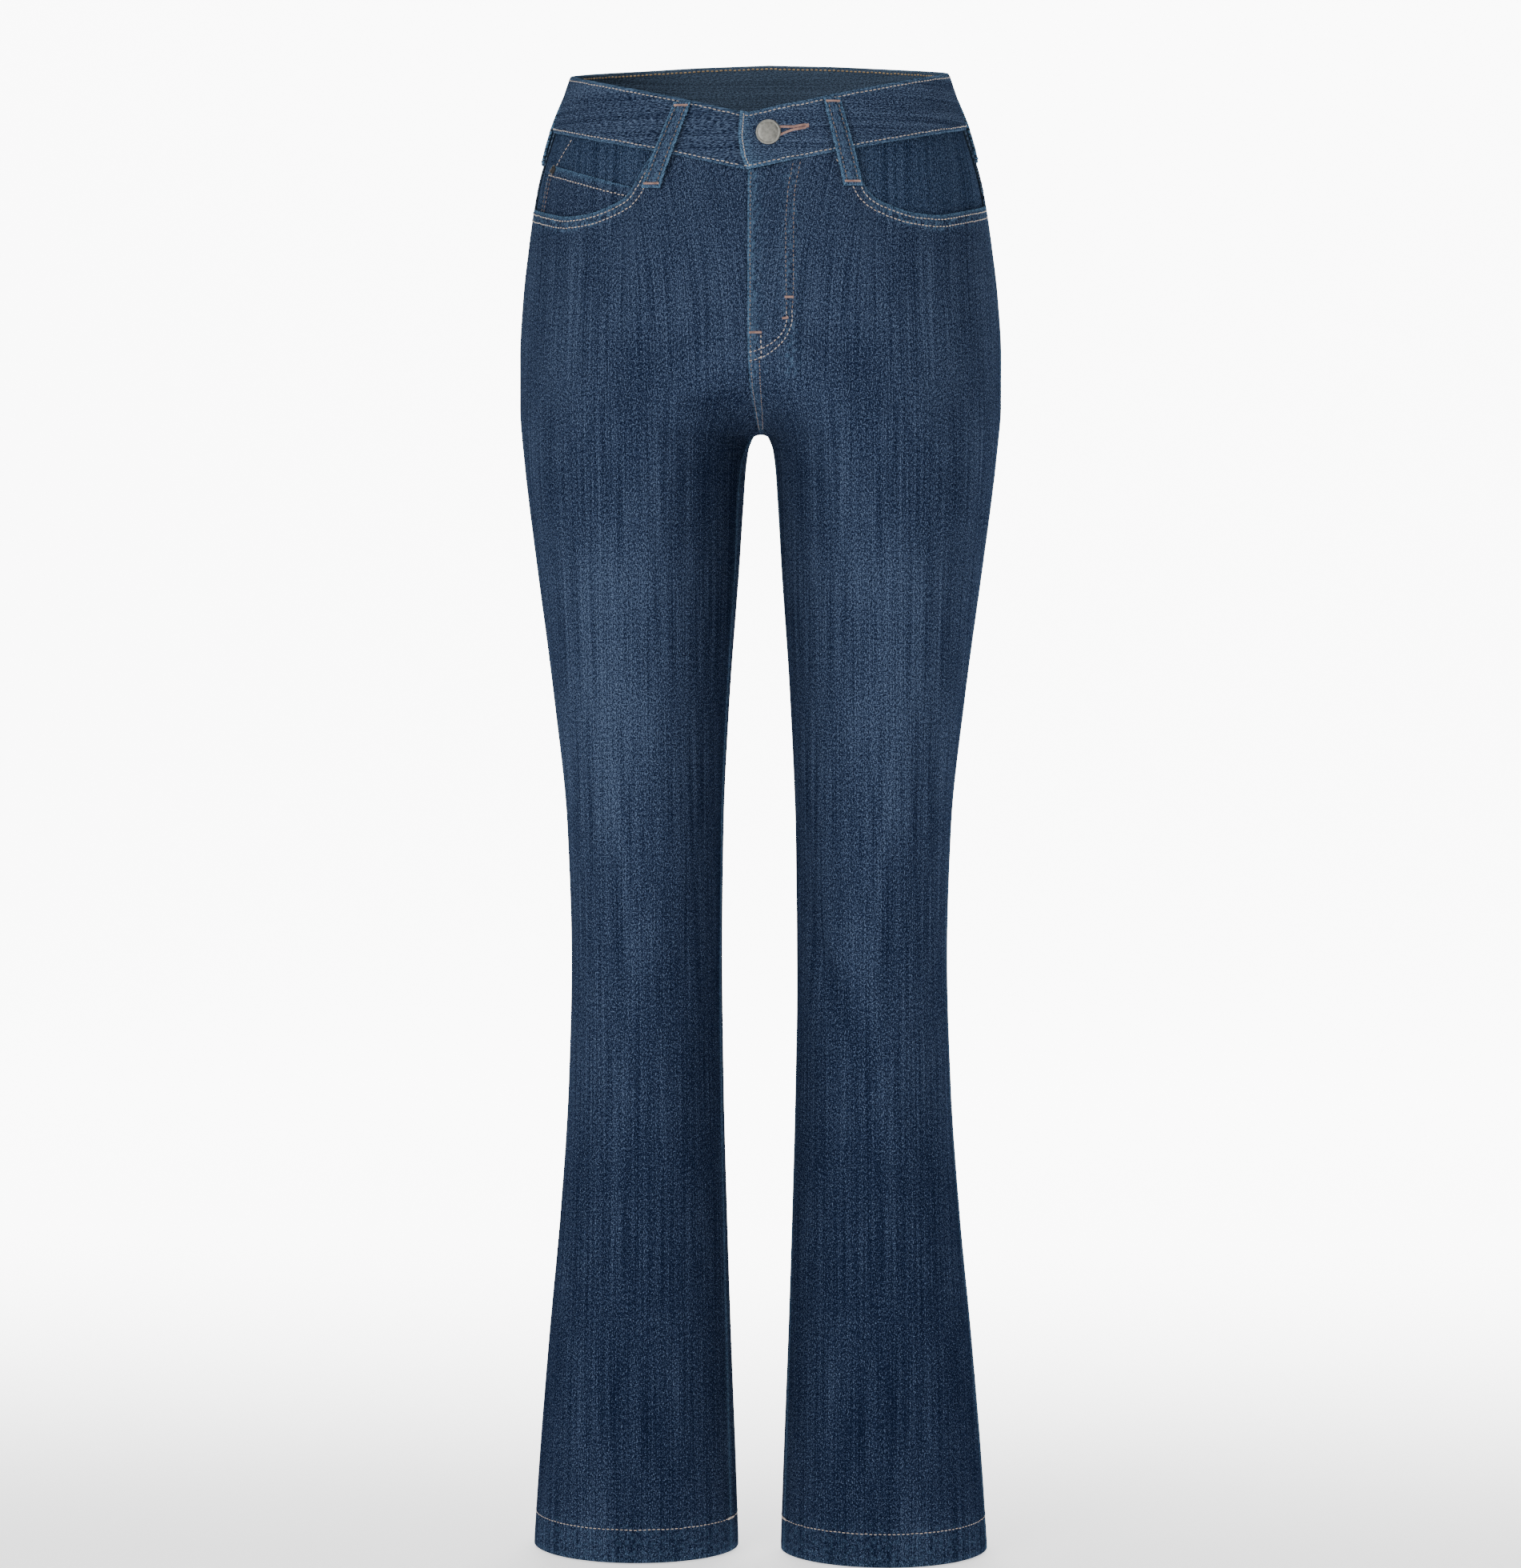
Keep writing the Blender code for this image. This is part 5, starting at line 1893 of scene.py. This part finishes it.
# ----------------------------------------------------------------------------- studio
@dataclass(frozen=True)
class Studio:
    """White floor, soft lights and the camera, in metres."""

    azimuth: float = 4.4
    distance: float = 3.2
    camera_z: float = -0.29125
    target_z: float = -0.51
    focal_px: float = 5604.3
    centre_px: tuple[float, float] = (949.25, 991.9)
    frame_px: tuple[int, int] = (1901, 1960)
    sensor: float = 36.0
    floor_z: float = -1.0565
    floor_end: float = 2.5
    bend: float = 1.6                # radius of the curve up into the backdrop
    bend_run: float = 2.5
    glow: float = 8.0

    def build(self) -> None:
        """Make the floor, the lights and the camera."""
        self._floor()
        self._lights()
        self._camera()
        log.info("studio ready")

    def _floor(self) -> None:
        """A floor that curves up into a backdrop and glows, lighting the garment from behind and
        below.
        """
        bm = bmesh.new()
        bmesh.ops.create_grid(bm, x_segments=1, y_segments=48, size=1.0)
        end, bend = self.floor_end, self.bend
        for v in bm.verts:
            run = -6.0 + 13.0 * (v.co.y + 1) / 2
            turn = min(max(run - end, 0.0) / self.bend_run, 1.0) * math.pi / 2
            v.co = (v.co.x * 5.0, min(run, end) + bend * math.sin(turn),
                    self.floor_z + bend * (1 - math.cos(turn))
                    + max(run - end - self.bend_run, 0.0))
        finish = Finish("white_floor", {"Base Color": (0.9, 0.9, 0.9), "Roughness": 0.9,
                                        "Emission Color": (1.0, 1.0, 1.0)})
        place = finish.node("TexCoord", {}, "Object")
        x, y = (finish.node("SeparateXYZ", {0: place}, axis) for axis in "XY")
        aside = finish.node("Math", {0: x}, operation="ABSOLUTE")
        # glow of the backdrop: low by the garment's feet, full behind it, none far aside
        eases = (finish.node("MapRange", {"Value": source, "From Min": low, "From Max": high,
                                          "To Min": start, "To Max": stop}, "Result",
                             interpolation_type="SMOOTHSTEP")
                 for source, low, high, start, stop in ((y, -0.1, 1.4, 1.0, self.glow),
                                                        (aside, 1.7, 2.1, 1.0, 0.0)))
        finish.give("Emission Strength", finish.maths("MULTIPLY", *eases))
        finish_mesh("floor", bm, finish.material)

    def _lights(self) -> None:
        """World light and large soft lamps."""
        scene = bpy.context.scene
        scene.world = bpy.data.worlds.new("studio")
        scene.world.use_nodes = True
        sky = scene.world.node_tree.nodes["Background"]
        sky.inputs["Color"].default_value = (1, 1, 1, 1)
        sky.inputs["Strength"].default_value = 0.2
        lamps = (("key", (-2.0, -3.0, 0.9), 1.8, 92.0), ("fill", (2.6, -2.2, 0.2), 2.2, 34.0),
                 ("top", (0.0, 0.2, 2.6), 2.4, 50.0))
        for name, place, size, power in lamps:
            lamp = bpy.data.lights.new(name, "AREA")
            lamp.size, lamp.energy = size, power
            obj = bpy.data.objects.new(name, lamp)
            obj.location = place
            aim = Vector((0.0, 0.0, -0.5)) - Vector(place)
            obj.rotation_euler = aim.to_track_quat("-Z", "Y").to_euler()
            scene.collection.objects.link(obj)

    def _camera(self) -> None:
        """A pitched camera that frames the garment as in the photograph."""
        data = bpy.data.cameras.new("camera")
        camera = bpy.data.objects.new("camera", data)
        bpy.context.scene.collection.objects.link(camera)
        a = math.radians(self.azimuth)
        place = Vector((math.sin(a) * self.distance, -math.cos(a) * self.distance, self.camera_z))
        forward = (Vector((0.0, 0.0, self.target_z)) - place).normalized()
        right = forward.cross(Vector((0.0, 0.0, 1.0))).normalized()
        up = right.cross(forward)
        # the frame's middle, seen from the fitted principal point
        dx, dy = ((size / 2 - centre) / self.focal_px
                  for size, centre in zip(self.frame_px, self.centre_px))
        forward = (forward + right * dx - up * dy).normalized()
        camera.location = place
        camera.rotation_euler = forward.to_track_quat("-Z", "Y").to_euler()
        data.sensor_width = self.sensor
        data.lens = self.sensor * self.focal_px / max(self.frame_px)
        data.clip_start, data.clip_end = 0.1, 50.0
        bpy.context.scene.camera = camera


def main() -> None:
    """Build every piece in order and report it."""
    logging.basicConfig(level=logging.INFO, format="%(name)s: %(message)s")
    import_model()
    garment = Garment()
    denim = Denim("indigo_denim").build()
    facing = Denim("unworn_denim", mid=(0.021, 0.039, 0.078)).build()
    threads = {
        "tan": Thread("tan_thread", (0.60, 0.50, 0.42), (0.28, 0.21, 0.17)).build(),
        "brown": Thread("brown_thread", (0.21, 0.14, 0.108), (0.075, 0.05, 0.042)).build(),
        "pink": Thread("copper_thread", (0.40, 0.235, 0.19), (0.20, 0.105, 0.085)).build(),
        "gold": Thread("gold_thread", (0.50, 0.34, 0.16), (0.26, 0.17, 0.08)).build(),
    }
    tailor = Tailor(garment, denim, facing)
    tailor.cut_all()
    Stitcher(garment, tailor, threads).sew_all()
    trims = Trims(garment, Metal("pewter", (0.31, 0.305, 0.275), (0.19, 0.185, 0.17), 0.5).build(),
                  Metal("blackened_metal", (0.07, 0.065, 0.06), (0.02, 0.018, 0.018)).build())
    trims.button()
    trims.rivet()
    Studio().build()


if __name__ == "__main__":
    main()
